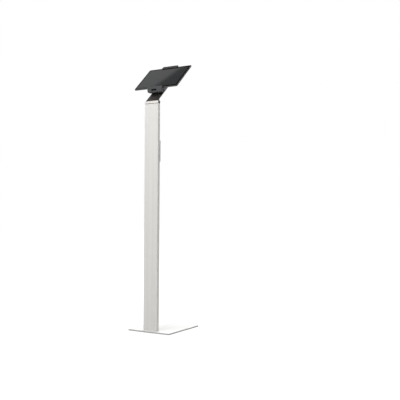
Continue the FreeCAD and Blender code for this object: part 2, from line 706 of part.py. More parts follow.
def make_neck_bracket():
    """Neck plate bent back over the column, with an upright front leg and a welded rear leg."""
    sheet = make_body("neck_sheet")
    side = make_sketch(sheet, "neck_sheet_side", "YZ_Plane")
    run = size.neck_length * cosine(size.neck_tilt)
    rise = size.neck_length * sine(size.neck_tilt)
    back = size.neck_thickness * sine(size.neck_tilt)
    drop = size.neck_thickness * cosine(size.neck_tilt)
    inner_front = column_front + size.neck_thickness
    inner_rear = column_rear - size.rear_leg_thickness
    draw_outline(side, [
        (column_front, band_bottom), (inner_front, band_bottom),
        (inner_front, neck_underside(inner_front)), (inner_rear, neck_underside(inner_rear)),
        (inner_rear, band_bottom), (column_rear, band_bottom), (column_rear, neck_underside(column_rear)),
        (column_front + run + back, bend_height + rise - drop),
        (column_front + run, bend_height + rise), (column_front, bend_height)])
    bent = pad(sheet, side, size.column_width, both_ways=True)
    round_edges(sheet, bent, lambda edge: lies_at(edge, 1, column_front) and lies_at(edge, 2, bend_height),
                size.neck_bend_radius)
    trim_neck_sides(sheet, measure(0))
    notch = make_sketch(sheet, "neck_sheet_notch", "XZ_Plane", -column_rear)
    half = size.cable_way_width / 2
    draw_rectangle(notch, -half, half, band_bottom, band_bottom + size.cable_way_height)
    pocket(sheet, notch, size.rear_leg_thickness, along=True)
    holes = make_sketch(sheet, "neck_sheet_screw_holes", "XZ_Plane", -column_rear)
    for across in (-size.neck_screw_side, size.neck_screw_side):
        draw_circle(holes, across, band_bottom + size.band_height / 2, size.neck_screw_radius)
    drilled = pocket(sheet, holes, size.rear_leg_thickness, along=True)
    round_edges(sheet, drilled, is_neck_screw_rim, size.neck_screw_head - size.neck_screw_radius, "Chamfer")
    stud_hole = doc.addObject("Part::Cylinder", "neck_stud_hole")
    bind(stud_hole, "Radius", size.pivot_radius)
    bind(stud_hole, "Height", size.neck_thickness * 2)
    place(stud_hole, 0, size.pivot_distance, -(size.neck_thickness * 1.5))
    bracket = doc.addObject("Part::Cut", "neck_bracket")
    bracket.Base = sheet
    bracket.Tool = stud_hole
    bracket.Label = "neck_bracket"
    doc.recompute()
    return bracket


def is_neck_screw_rim(edge):
    circle = isinstance(edge.Curve, Part.Circle)
    return circle and abs(edge.Curve.Radius - size.neck_screw_radius.number) < 1e-4 \
        and lies_at(edge, 1, column_rear)


def make_neck_screws():
    screw = countersunk_screw(size.neck_screw_radius, size.neck_screw_head, size.neck_screw_length)
    height = band_bottom + size.band_height / 2
    places = [(across, column_rear, height) for across in (-size.neck_screw_side, size.neck_screw_side)]
    return make_group("neck_screws", screw, places, (0, -1, 0))


# Pivot between neck and head

def make_pivot_stud():
    """Stud pressed flush into the neck, with a narrower threaded end for the nut."""
    stud = make_body("pivot_stud")
    section = make_sketch(stud, "pivot_stud_section", "XZ_Plane")
    radius = size.pivot_radius
    chamfer = size.pivot_radius / 8
    top = size.neck_gap + size.boss_height + size.spring_washer_thickness + size.pivot_nut_height
    draw_outline(section, [
        (0, -size.neck_thickness), (radius, -size.neck_thickness), (radius, top - chamfer),
        (radius - chamfer, top), (0, top)])
    spun = stud.newObject("PartDesign::Revolution", "pivot_stud_turned")
    spun.Profile = section
    spun.ReferenceAxis = (section, ["V_Axis"])
    place(stud, 0, size.pivot_distance, 0)
    doc.recompute()
    return stud


def make_friction_washer():
    washer = make_ring("friction_washer", size.pivot_radius, size.washer_radius, size.washer_thickness)
    place(washer, 0, size.pivot_distance, 0)
    return washer


def make_spring_washer():
    washer = make_ring("spring_washer", size.pivot_radius, size.spring_washer_radius,
                       size.spring_washer_thickness - size.seat_clearance)
    place(washer, 0, size.pivot_distance, shell_back + size.boss_height + size.seat_clearance)
    return washer


def make_pivot_nut():
    nut = make_body("pivot_nut")
    drawing = make_sketch(nut, "pivot_nut_outline", "XY_Plane")
    draw_hexagon(drawing, measure(0), measure(0), size.pivot_nut_width)
    draw_circle(drawing, 0, 0, size.pivot_radius)
    pad(nut, drawing, size.pivot_nut_height)
    place(nut, 0, size.pivot_distance, shell_back + size.boss_height + size.spring_washer_thickness)
    return nut


# Head housing

def plate_screw_places():
    side = size.head_width / 2 - size.plate_screw_inset
    low = tablet_low + size.plate_screw_inset
    high = shell_high - size.plate_screw_inset
    return [(across, along) for across in (-side, side) for along in (low, high)]


def lower_jaw_screw_along():
    return head_low + (tablet_low - head_low) / 2


def is_outer_rim(edge, level, low, high):
    """Edges of a rim at one level, between two places along the head."""
    box = edge.BoundBox
    inside = box.YMax > low.number + 1e-3 and box.YMin < high.number - 1e-3
    return lies_at(edge, 2, level) and inside


def make_rear_shell():
    """Moulded tray with rounded rear edges that carries the lock, the pawl and the slide."""
    shell = make_body("rear_shell")
    outline = make_sketch(shell, "rear_shell_outline", "XY_Plane", shell_back)
    half = size.head_width / 2
    draw_rectangle(outline, -half, half, head_low, shell_high)
    block = pad(shell, outline, size.shell_depth)
    corners = round_edges(shell, block, lambda edge: runs_along(edge, 2) and lies_at(edge, 1, head_low),
                          size.head_corner)
    round_edges(shell, corners,
                lambda edge: lies_at(edge, 2, shell_back) and not lies_at(edge, 1, shell_high), size.head_rim)
    cavity = make_sketch(shell, "rear_shell_cavity", "XY_Plane", shell_front)
    draw_rectangle(cavity, -(half - size.shell_wall), half - size.shell_wall,
                   tablet_low, shell_high - size.shell_wall)
    pocket(shell, cavity, size.shell_depth - size.shell_floor)
    seat_cut = make_sketch(shell, "rear_shell_jaw_seat", "XY_Plane", shell_front)
    draw_rectangle(seat_cut, -half, half, head_low, tablet_low)
    pocket(shell, seat_cut, size.jaw_seat_drop)
    floor = shell_back + size.shell_floor
    boss = make_sketch(shell, "rear_shell_boss", "XY_Plane", floor)
    draw_circle(boss, 0, size.pivot_distance, size.boss_radius)
    pad(shell, boss, size.boss_height - size.shell_floor)
    posts = make_sketch(shell, "rear_shell_posts", "XY_Plane", floor)
    for across, along in plate_screw_places():
        draw_circle(posts, across, along, size.post_radius)
    pad(shell, posts, size.shell_depth - size.shell_floor)
    pawl_seat = make_sketch(shell, "rear_shell_pawl_seat", "XY_Plane", floor)
    draw_rectangle(pawl_seat, pawl_back(), size.slide_leg_inner - size.slide_clearance,
                   tablet_low + size.pawl_height, pawl_top() - size.cam_pin_radius)
    pad(shell, pawl_seat, slide_back - size.seat_clearance - floor)
    stops = make_sketch(shell, "rear_shell_pawl_stops", "XY_Plane", floor)
    stop = pawl_top() + size.seat_clearance
    draw_rectangle(stops, pawl_back(), size.lock_side, stop, stop + size.pawl_stop)
    stop = tablet_low + size.pawl_height - size.seat_clearance
    draw_rectangle(stops, size.lock_side + size.lock_sleeve_radius + size.seat_clearance,
                   size.slide_leg_inner - size.slide_clearance, stop - size.pawl_stop, stop)
    pad(shell, stops, slide_front - floor)
    bore = make_sketch(shell, "rear_shell_bore", "XY_Plane", shell_back)
    draw_circle(bore, 0, size.pivot_distance, size.pivot_radius + size.pivot_clearance)
    pocket(shell, bore, size.boss_height, along=True)
    screws = make_sketch(shell, "rear_shell_post_holes", "XY_Plane", shell_front)
    for across, along in plate_screw_places():
        draw_circle(screws, across, along, size.plate_screw_radius)
    pocket(shell, screws, size.plate_screw_length)
    cut_jaw_screw_holes(shell, size.jaw_screw_side, lower_jaw_screw_along(), jaw_seat - shell_back)
    cut_slide_windows(shell)
    lock_bore = make_sketch(shell, "rear_shell_lock_bore", "XZ_Plane", -head_low)
    draw_circle(lock_bore, size.lock_side, lock_out, size.lock_sleeve_radius)
    pocket(shell, lock_bore, tablet_low - head_low)
    return shell


def cut_jaw_screw_holes(part, side, along, depth):
    """Two screw holes from the rear face, each with a counterbore for the head."""
    heads = make_sketch(part, part.Name + "_screw_heads", "XY_Plane", shell_back)
    for across in (-side, side):
        draw_circle(heads, across, along, size.jaw_screw_head)
    pocket(part, heads, jaw_screw_sink(), along=True)
    shanks = make_sketch(part, part.Name + "_screw_shanks", "XY_Plane", shell_back)
    for across in (-side, side):
        draw_circle(shanks, across, along, size.jaw_screw_radius)
    pocket(part, shanks, depth, along=True)


def jaw_screw_sink():
    """Depth of a jaw screw's counterbore, which clears the rounding of the rear edge."""
    return size.head_rim - size.seat_clearance


def cut_slide_windows(shell):
    """Openings in the shell's upper wall for the slide's legs."""
    windows = make_sketch(shell, "rear_shell_windows", "XZ_Plane", -shell_high)
    gap = size.slide_clearance
    inner = size.slide_leg_inner - gap
    outer = slide_leg_outer + gap
    for left, right in ((inner, outer), (-outer, -inner)):
        draw_rectangle(windows, left, right, slide_back - gap, slide_front + gap)
    pocket(shell, windows, size.shell_wall, along=True)


def make_front_plate():
    """Steel plate that closes the shell and carries the tablet, with countersunk screw holes."""
    plate = make_body("front_plate")
    outline = make_sketch(plate, "front_plate_outline", "XY_Plane", shell_front)
    half = size.head_width / 2 - size.front_plate_inset
    draw_rectangle(outline, -half, half, tablet_low, shell_high)
    pad(plate, outline, size.front_plate_thickness)
    holes = make_sketch(plate, "front_plate_holes", "XY_Plane", plate_front)
    for across, along in plate_screw_places():
        draw_circle(holes, across, along, size.plate_screw_radius)
    drilled = pocket(plate, holes, size.front_plate_thickness)
    round_edges(plate, drilled, lambda edge: is_hole_rim(edge, size.plate_screw_radius, plate_front),
                size.plate_screw_head - size.plate_screw_radius, "Chamfer")
    place(plate)
    return plate


def make_front_plate_screws():
    screw = countersunk_screw(size.plate_screw_radius, size.plate_screw_head, size.plate_screw_length)
    places = [(across, along, plate_front) for across, along in plate_screw_places()]
    group = make_group("front_plate_screws", screw, places, (0, 0, -1))
    place(group)
    return group


def make_rest_pad():
    rest = make_body("rest_pad")
    outline = make_sketch(rest, "rest_pad_outline", "XY_Plane", plate_front)
    half = size.rest_pad_width / 2
    draw_rectangle(outline, -half, half, tablet_low + size.rest_pad_inset, tablet_high - size.rest_pad_inset)
    slab = pad(rest, outline, size.rest_pad_thickness)
    round_edges(rest, slab, lambda edge: runs_along(edge, 2), size.head_corner)
    place(rest)
    return rest


# Jaws

def chin_low_place():
    """Along and out places of the chin's lower front edge, straight below its upper one."""
    along = tablet_low - size.chin_height * sine(size.neck_tilt)
    out = lip_back + size.chin_reach - size.chin_height * cosine(size.neck_tilt)
    return along, out


def is_under_chin(edge, side):
    """Side edges of the chin's underside, on both sides."""
    beside = lies_at(edge, 0, side) or lies_at(edge, 0, -side)
    box = edge.BoundBox
    front = chin_low_place()[1]
    return beside and box.YMin < head_low.number - 1e-3 and box.ZMax < front.number + 1e-3


def is_chin_front(edge):
    """Edges of the chin's front face, apart from its upper edge."""
    low, front = (place.number for place in chin_low_place())
    slope = math.radians(size.neck_tilt.number)
    distances = [(point.Point.y - low) * math.cos(slope) - (point.Point.z - front) * math.sin(slope)
                 for point in edge.Vertexes]
    upper = runs_along(edge, 0) and lies_at(edge, 1, tablet_low)
    return all(abs(distance) < 1e-4 for distance in distances) and not upper


def make_lower_jaw():
    """Fixed jaw: wall under the tablet, and a chin whose front is upright and whose top is level."""
    jaw = make_body("lower_jaw")
    side = make_sketch(jaw, "lower_jaw_side", "YZ_Plane")
    wall = tablet_low - size.jaw_pad_thickness
    top = lip_back + size.chin_reach
    low, front = chin_low_place()
    heel = front - (head_low - low) * tangent(size.neck_tilt)
    tip = tablet_low + size.chin_reach / tangent(size.neck_tilt)
    draw_outline(side, [(head_low, jaw_seat), (head_low, heel), (low, front), (tablet_low, top),
                        (tip, lip_back), (wall, lip_back), (wall, jaw_seat)])
    block = pad(jaw, side, size.head_width, both_ways=True)
    half = size.head_width / 2
    corners = round_edges(jaw, block, lambda edge: is_under_chin(edge, half), size.chin_corner)
    rim = round_edges(jaw, corners, is_chin_front, size.chin_edge)
    round_edges(jaw, rim, lambda edge: runs_along(edge, 0) and lies_at(edge, 1, tablet_low)
                and lies_at(edge, 2, top), size.lip_edge)
    recess = make_sketch(jaw, "lower_jaw_recess", "XY_Plane", jaw_seat)
    middle = size.connector_slot_side
    half = size.connector_slot_width / 2 + size.connector_wall
    draw_rectangle(recess, middle - half, middle + half, head_low + size.connector_wall, wall)
    pocket(jaw, recess, lip_back - jaw_seat, along=True)
    slot = make_sketch(jaw, "lower_jaw_slot", "XZ_Plane", -low)
    half = size.connector_slot_width / 2
    bottom = jaw_seat + size.connector_slot_rise
    draw_rectangle(slot, middle - half, middle + half, bottom, bottom + size.connector_slot_height)
    pocket(jaw, slot, head_low + size.connector_wall - low)
    key_way = make_sketch(jaw, "lower_jaw_key_way", "XZ_Plane", -low)
    draw_circle(key_way, size.lock_side, lock_out, size.lock_sleeve_radius + size.key_way_clearance)
    pocket(jaw, key_way, head_low - low)
    shanks = make_sketch(jaw, "lower_jaw_screw_holes", "XY_Plane", jaw_seat)
    for across in (-size.jaw_screw_side, size.jaw_screw_side):
        draw_circle(shanks, across, lower_jaw_screw_along(), size.jaw_screw_radius)
    depth = size.lower_jaw_screw_length - (jaw_seat - shell_back - jaw_screw_sink())
    pocket(jaw, shanks, depth, along=True)
    place(jaw)
    return jaw


def make_jaw_pad(label, low, high, opening):
    """Rubber lining on a jaw's wall, notched where the jaw has its connector slot."""
    lining = make_body(label)
    outline = make_sketch(lining, label + "_outline", "XZ_Plane", -low)
    half = size.head_width / 2 - size.jaw_pad_inset
    top = lip_back
    if opening:
        left = size.connector_slot_side - size.connector_slot_width / 2
        right = size.connector_slot_side + size.connector_slot_width / 2
        notch = top - size.connector_wall + size.lip_gap
        draw_outline(outline, [(-half, plate_front), (left, plate_front), (left, notch), (right, notch),
                               (right, plate_front), (half, plate_front), (half, top), (-half, top)])
    else:
        draw_rectangle(outline, -half, half, plate_front, top)
    pad(lining, outline, high - low, against=True)
    place(lining)
    return lining


def make_upper_jaw():
    """Sliding jaw: cap over the shell's end, wall over the tablet and lip over its front."""
    jaw = make_body("upper_jaw")
    outline = make_sketch(jaw, "upper_jaw_outline", "XY_Plane", shell_back)
    wall = tablet_high + size.jaw_pad_thickness
    lip = tablet_high - size.lip_overlap
    half = size.upper_jaw_width / 2
    draw_rectangle(outline, -half, half, lip, head_high)
    block = pad(jaw, outline, lip_front - shell_back)
    corners = round_edges(jaw, block, lambda edge: runs_along(edge, 2) and lies_at(edge, 1, head_high),
                          size.head_corner)
    rim = round_edges(jaw, corners, lambda edge: lies_at(edge, 2, shell_back) and not lies_at(edge, 1, lip),
                      size.head_rim)
    round_edges(jaw, rim, lambda edge: lies_at(edge, 2, lip_front), size.lip_edge)
    mouth = make_sketch(jaw, "upper_jaw_mouth", "YZ_Plane")
    draw_outline(mouth, [(lip, shell_back), (cap_low, shell_back), (cap_low, shell_front),
                         (wall, shell_front), (wall, lip_back), (lip, lip_back)])
    pocket(jaw, mouth, size.upper_jaw_width, both_ways=True)
    recess = make_sketch(jaw, "upper_jaw_recess", "XZ_Plane", -cap_low)
    draw_rectangle(recess, -slide_leg_outer, slide_leg_outer, slide_back, slide_front)
    pocket(jaw, recess, size.slide_bar_width)
    cut_jaw_screw_holes(jaw, upper_jaw_screw_side(), upper_jaw_screw_along(),
                        size.upper_jaw_screw_length + jaw_screw_sink())
    place(jaw)
    return jaw


def upper_jaw_screw_side():
    return size.slide_leg_inner + size.slide_leg_width / 2


def upper_jaw_screw_along():
    return cap_low + size.slide_bar_width / 2


def make_jaw_screws(label, side, along, length):
    screw = headed_screw(size.jaw_screw_radius, size.jaw_screw_head, size.jaw_screw_head_height, length)
    places = [(across, along, shell_back + jaw_screw_sink()) for across in (-side, side)]
    group = make_group(label, screw, places, (0, 0, 1))
    place(group)
    return group


# Slide, rack, pawl and lock

def rack_teeth():
    """Number of rack gaps that keeps the pawl in mesh over the whole travel."""
    return size.jaw_travel / size.rack_pitch + size.pawl_teeth


def make_slide_frame():
    """U-shaped slide of the upper jaw, with rack teeth along the inner edge of one leg."""
    slide = make_body("slide_frame")
    outline = make_sketch(slide, "slide_frame_outline", "XY_Plane", slide_back)
    inner = size.slide_leg_inner
    end = tablet_low + size.slide_leg_end
    top = cap_low + size.slide_bar_width
    draw_outline(outline, [(-slide_leg_outer, end), (-inner, end), (-inner, cap_low), (inner, cap_low),
                           (inner, end), (slide_leg_outer, end), (slide_leg_outer, top),
                           (-slide_leg_outer, top)])
    pad(slide, outline, size.slide_thickness)
    gap = make_sketch(slide, "slide_frame_tooth_gap", "XY_Plane", slide_front)
    first = tablet_low + size.pawl_first_tooth - size.jaw_travel
    half = size.rack_pitch / 2
    draw_outline(gap, [(inner - size.rack_clearance, first - half), (inner + size.rack_depth, first),
                       (inner - size.rack_clearance, first + half)])
    cut = pocket(slide, gap, size.slide_thickness)
    rack = slide.newObject("PartDesign::LinearPattern", "slide_frame_rack")
    rack.Originals = [cut]
    rack.Direction = (outline, ["V_Axis"])
    teeth = rack_teeth()
    bind(rack, "Length", (teeth - 1) * size.rack_pitch)
    bind(rack, "Occurrences", teeth)
    slide.Tip = rack
    doc.recompute()
    holes = make_sketch(slide, "slide_frame_screw_holes", "XY_Plane", slide_front)
    for across in (-upper_jaw_screw_side(), upper_jaw_screw_side()):
        draw_circle(holes, across, upper_jaw_screw_along(), size.jaw_screw_radius)
    pocket(slide, holes, size.slide_thickness)
    place(slide)
    return slide


def make_slide_guides():
    """Four plastic blocks on the shell's floor, each with a window that a leg slides through."""
    guides = make_body("slide_guides")
    gap = size.slide_clearance
    reach = size.guide_wall + gap
    floor = shell_back + size.shell_floor
    outline = make_sketch(guides, "slide_guides_outline", "XY_Plane", floor)
    for left in (size.slide_leg_inner - reach, -slide_leg_outer - reach):
        for low in (tablet_low + size.lower_guide_height, shell_high - size.upper_guide_drop):
            draw_rectangle(outline, left, left + size.slide_leg_width + reach * 2,
                           low, low + size.guide_length)
    pad(guides, outline, shell_front - floor)
    windows = make_sketch(guides, "slide_guides_windows", "XZ_Plane", -shell_high)
    inner = size.slide_leg_inner - gap
    outer = slide_leg_outer + gap
    for left, right in ((inner, outer), (-outer, -inner)):
        draw_rectangle(windows, left, right, slide_back - gap, slide_front + gap)
    pocket(guides, windows, size.tablet_height, along=True)
    place(guides)
    return guides


def pawl_travel():
    """Sideways travel of the pawl as the cam pin swings through a quarter turn."""
    return size.lock_throw * cosine(measure(45)) * 2


def pawl_front():
    """Pawl's edge behind its teeth, which nearly meets the rack when it is locked."""
    return size.slide_leg_inner - size.rack_clearance - pawl_travel()


def pawl_back():
    return pawl_front() - size.pawl_width


def pawl_top():
    return tablet_low + size.pawl_height + size.pawl_length


def make_lock_pawl():
    """Sliding pawl with teeth that fit the rack and a slot for the lock's cam pin."""
    pawl = make_body("lock_pawl")
    thickness = shell_front - size.seat_clearance - slide_back
    outline = make_sketch(pawl, "lock_pawl_outline", "XY_Plane", slide_back)
    low = tablet_low + size.pawl_height
    draw_rectangle(outline, pawl_back(), pawl_front(), low, pawl_top())
    pad(pawl, outline, thickness)
    tooth = make_sketch(pawl, "lock_pawl_tooth", "XY_Plane", slide_back)
    first = tablet_low + size.pawl_first_tooth
    half = size.rack_pitch / 2 - size.rack_clearance
    height = size.rack_depth - size.rack_clearance
    draw_outline(tooth, [(pawl_front(), first - half), (pawl_front() + height, first),
                         (pawl_front(), first + half)])
    raised = pad(pawl, tooth, size.slide_thickness)
    teeth = pawl.newObject("PartDesign::LinearPattern", "lock_pawl_teeth")
    teeth.Originals = [raised]
    teeth.Direction = (outline, ["V_Axis"])
    bind(teeth, "Length", (size.pawl_teeth - 1) * size.rack_pitch)
    bind(teeth, "Occurrences", size.pawl_teeth)
    pawl.Tip = teeth
    doc.recompute()
    slot = make_sketch(pawl, "lock_pawl_slot", "XY_Plane", slide_back + thickness)
    pin = size.lock_side - pawl_travel() / 2
    half = size.cam_pin_radius + size.cam_slot_clearance
    draw_rectangle(slot, pin - half, pin + half, low, low + size.cam_pin_length)
    pocket(pawl, slot, thickness)
    place(pawl)
    return pawl


def make_lock_sleeve():
    sleeve = make_body("lock_sleeve")
    section = make_sketch(sleeve, "lock_sleeve_section", "XZ_Plane", -head_low)
    draw_circle(section, size.lock_side, lock_out, size.lock_sleeve_radius)
    draw_circle(section, size.lock_side, lock_out, size.lock_plug_radius + size.lock_clearance)
    pad(sleeve, section, size.lock_sleeve_length, against=True)
    place(sleeve)
    return sleeve


def make_lock_plug():
    """Turning plug with a key slot in its face and a cam pin at its inner end."""
    plug = make_body("lock_plug")
    section = make_sketch(plug, "lock_plug_section", "XZ_Plane", -head_low)
    draw_circle(section, size.lock_side, lock_out, size.lock_plug_radius)
    pad(plug, section, size.lock_plug_length, against=True)
    key = make_sketch(plug, "lock_plug_key_slot", "XZ_Plane", -head_low)
    across = size.key_slot_width / 2
    along = size.key_slot_length / 2
    draw_rectangle(key, size.lock_side - across, size.lock_side + across, lock_out - along, lock_out + along)
    pocket(plug, key, size.key_slot_depth)
    pin = make_sketch(plug, "lock_plug_cam_pin", "XZ_Plane", -(head_low + size.lock_plug_length))
    reach = pawl_travel() / 2
    draw_circle(pin, size.lock_side - reach, lock_out + reach, size.cam_pin_radius)
    pad(plug, pin, size.cam_pin_length, against=True)
    place(plug)
    return plug


def make_lock_nut():
    nut = make_body("lock_nut")
    outline = make_sketch(nut, "lock_nut_outline", "XZ_Plane", -tablet_low)
    draw_hexagon(outline, size.lock_side, lock_out, size.lock_nut_width)
    draw_circle(outline, size.lock_side, lock_out, size.lock_sleeve_radius)
    pad(nut, outline, size.lock_nut_height, against=True)
    place(nut)
    return nut


# Tablet

def make_tablet_shell():
    """Tablet's back with a rounded rear edge, a glass bed, key recesses and a charging port."""
    shell = make_body("tablet_shell")
    outline = make_sketch(shell, "tablet_shell_outline", "XY_Plane", tablet_back)
    half = size.tablet_width / 2
    draw_rectangle(outline, -half, half, tablet_low, tablet_high)
    block = pad(shell, outline, size.tablet_thickness)
    corners = round_edges(shell, block, lambda edge: runs_along(edge, 2), size.tablet_corner)
    round_edges(shell, corners, lambda edge: lies_at(edge, 2, tablet_back), size.tablet_edge)
    bed = make_sketch(shell, "tablet_shell_bed", "XY_Plane", tablet_front)
    inset = size.glass_inset - size.glass_clearance
    draw_rounded_bed(bed, inset)
    pocket(shell, bed, size.glass_thickness)
    recesses = make_sketch(shell, "tablet_shell_key_recesses", "XZ_Plane", -tablet_high)
    for side, length in tablet_keys():
        half = length / 2 + size.key_clearance
        low = key_middle() - size.key_thickness / 2 - size.key_clearance
        high = key_middle() + size.key_thickness / 2 + size.key_clearance
        draw_rectangle(recesses, -side - half, -side + half, low, high)
    pocket(shell, recesses, size.key_depth + size.key_travel + size.key_clearance, along=True)
    port = make_sketch(shell, "tablet_shell_port", "XZ_Plane", -tablet_low)
    middle = size.connector_slot_side
    draw_rectangle(port, middle - size.port_width / 2, middle + size.port_width / 2,
                   key_middle() - size.port_height / 2, key_middle() + size.port_height / 2)
    pocket(shell, port, size.port_depth)
    place(shell)
    return shell


def draw_rounded_bed(drawing, inset):
    """Outline inside the tablet's edge with its corners cut at the tablet's corner radius."""
    side = size.tablet_width / 2 - inset
    low = tablet_low + inset
    high = tablet_high - inset
    cut = size.tablet_corner * (2 - 2 * cosine(measure(45)))
    draw_outline(drawing, [
        (-side + cut, low), (side - cut, low), (side, low + cut), (side, high - cut),
        (side - cut, high), (-side + cut, high), (-side, high - cut), (-side, low + cut)])


def make_tablet_glass():
    glass = make_body("tablet_glass")
    outline = make_sketch(glass, "tablet_glass_outline", "XY_Plane", tablet_front - size.glass_thickness)
    draw_rounded_bed(outline, size.glass_inset)
    pad(glass, outline, size.glass_thickness)
    place(glass)
    return glass


def tablet_keys():
    return [(size.power_key_side, size.power_key_length), (size.volume_key_side, size.volume_key_length)]


def key_middle():
    """Middle of the keys between the tablet's rear face and its glass."""
    return tablet_back + size.tablet_edge + size.key_thickness / 2 \
        + (size.tablet_thickness - size.glass_thickness - size.tablet_edge - size.key_thickness) / 2


def make_tablet_key(label, side, length):
    key = make_body(label)
    outline = make_sketch(key, label + "_outline", "XZ_Plane", -(tablet_high - size.key_depth))
    half = size.key_thickness / 2
    draw_rectangle(outline, -side - length / 2, -side + length / 2, key_middle() - half, key_middle() + half)
    block = pad(key, outline, size.key_depth + size.key_proud, against=True)
    round_edges(key, block, lambda edge: lies_at(edge, 1, tablet_high + size.key_proud), size.key_proud / 2)
    place(key)
    return key


# Cable box

def make_box_carriage():
    """Cable box's back with a long key that runs in the column's slot."""
    carriage = make_body("box_carriage")
    back = column_rear + size.box_gap
    outline = make_sketch(carriage, "box_carriage_outline", "XZ_Plane", -back)
    inset = size.box_wall + size.carriage_clearance
    half = size.box_width / 2 - inset
    tall = size.box_height / 2 - inset
    draw_rectangle(outline, -half, half, box_middle - tall, box_middle + tall)
    pad(carriage, outline, size.carriage_thickness, against=True)
    key = make_sketch(carriage, "box_carriage_key", "XZ_Plane", -back)
    key_half = size.slot_width / 2 - size.carriage_key_clearance
    draw_rectangle(key, -key_half, key_half, box_middle - tall, box_middle + tall)
    pad(carriage, key, size.column_wall + size.box_gap)
    holes = make_sketch(carriage, "box_carriage_holes", "XZ_Plane", -(back + size.carriage_thickness))
    for height in slot_nut_heights():
        draw_circle(holes, 0, height, size.box_screw_radius)
    pocket(carriage, holes, size.carriage_thickness + size.column_wall + size.box_gap, along=True)
    return carriage


def slot_nut_heights():
    return (box_middle - size.slot_nut_offset, box_middle + size.slot_nut_offset)


def make_box_cover():
    """Rounded cover with a cable exit at the top and bottom of each side."""
    cover = make_body("box_cover")
    back = column_rear + size.box_gap
    front = back + size.box_depth
    outline = make_sketch(cover, "box_cover_outline", "XZ_Plane", -back)
    half = size.box_width / 2
    tall = size.box_height / 2
    draw_rectangle(outline, -half, half, box_middle - tall, box_middle + tall)
    block = pad(cover, outline, size.box_depth, against=True)
    corners = round_edges(cover, block, lambda edge: runs_along(edge, 1), size.box_corner)
    round_edges(cover, corners, lambda edge: lies_at(edge, 1, front), size.box_edge)
    cavity = make_sketch(cover, "box_cover_cavity", "XZ_Plane", -back)
    draw_rectangle(cavity, -(half - size.box_wall), half - size.box_wall,
                   box_middle - tall + size.box_wall, box_middle + tall - size.box_wall)
    pocket(cover, cavity, size.box_depth - size.box_wall)
    exits = make_sketch(cover, "box_cover_exits", "YZ_Plane")
    low = back + size.carriage_thickness + size.carriage_clearance
    for offset in (-size.box_exit_offset, size.box_exit_offset):
        middle = box_middle + offset
        draw_rectangle(exits, low, low + size.box_exit_depth,
                       middle - size.box_exit_height / 2, middle + size.box_exit_height / 2)
    pocket(cover, exits, size.box_width, both_ways=True)
    return cover


def make_slot_nuts():
    """Two nuts in the channel behind the slot's lips, drilled for the clamp screws."""
    nuts = make_body("slot_nuts")
    rear = chamber_rear - size.box_gap
    outline = make_sketch(nuts, "slot_nuts_outline", "XZ_Plane", -rear)
    half = size.channel_width / 2 - size.carriage_key_clearance
    for height in slot_nut_heights():
        draw_rectangle(outline, -half, half, height - size.slot_nut_length / 2,
                       height + size.slot_nut_length / 2)
        draw_circle(outline, 0, height, size.box_screw_radius)
    pad(nuts, outline, size.slot_nut_thickness)
    return nuts


def make_box_screws():
    length = size.carriage_thickness + size.box_gap * 2 + size.column_wall + size.slot_nut_thickness
    screw = headed_screw(size.box_screw_radius, size.box_screw_head, size.box_screw_head_height, length)
    rear = column_rear + size.box_gap + size.carriage_thickness
    places = [(0, rear, height) for height in slot_nut_heights()]
    return make_group("box_screws", screw, places, (0, -1, 0))


def make_everything():
    """Make every sub-part and return them in the order in which the stand goes together."""
    shell = make_rear_shell()
    place(shell)
    return [
        make_base_plate(), make_base_pads(), make_base_screws(), make_foot_blocks(),
        make_foot_lock_screw(), make_column(), make_neck_block(), make_neck_lock_screws(),
        make_neck_bracket(), make_neck_screws(), make_pivot_stud(), make_friction_washer(),
        make_spring_washer(), make_pivot_nut(), shell, make_front_plate(), make_front_plate_screws(),
        make_rest_pad(), make_lower_jaw(),
        make_jaw_pad("lower_jaw_pad", tablet_low - size.jaw_pad_thickness, tablet_low, True),
        make_jaw_screws("lower_jaw_screws", size.jaw_screw_side, lower_jaw_screw_along(),
                        size.lower_jaw_screw_length),
        make_upper_jaw(),
        make_jaw_pad("upper_jaw_pad", tablet_high, tablet_high + size.jaw_pad_thickness, False),
        make_jaw_screws("upper_jaw_screws", upper_jaw_screw_side(), upper_jaw_screw_along(),
                        size.upper_jaw_screw_length),
        make_slide_frame(), make_slide_guides(), make_lock_pawl(), make_lock_sleeve(), make_lock_plug(),
        make_lock_nut(), make_tablet_shell(), make_tablet_glass(),
        make_tablet_key("tablet_power_key", size.power_key_side, size.power_key_length),
        make_tablet_key("tablet_volume_key", size.volume_key_side, size.volume_key_length),
        make_box_carriage(), make_box_cover(), make_slot_nuts(), make_box_screws(),
    ]


def check_document(parts):
    """Stop if any object failed or any sub-part's shape is missing or not valid."""
    for thing in doc.Objects:
        if "Invalid" in thing.State or "Error" in thing.State:
            raise RuntimeError("%s is in state %s" % (thing.Name, thing.State))
    for part in parts:
        shape = part.Shape
        if shape.isNull() or not shape.isValid() or not shape.Solids:
            raise RuntimeError("%s has no valid solid" % part.Label)


def main():
    parts = make_everything()
    doc.recompute()
    check_document(parts)
    os.makedirs("parts", exist_ok=True)
    for part in parts:
        part.Shape.exportStep("parts/%s.step" % part.Label)
        print("%-20s %d solid, %.1f mm3" % (part.Label, len(part.Shape.Solids), part.Shape.Volume))


main()
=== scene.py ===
import json
import math

import bmesh
import bpy
from bpy.props import FloatProperty, FloatVectorProperty, IntProperty, PointerProperty
from mathutils import Matrix, Vector


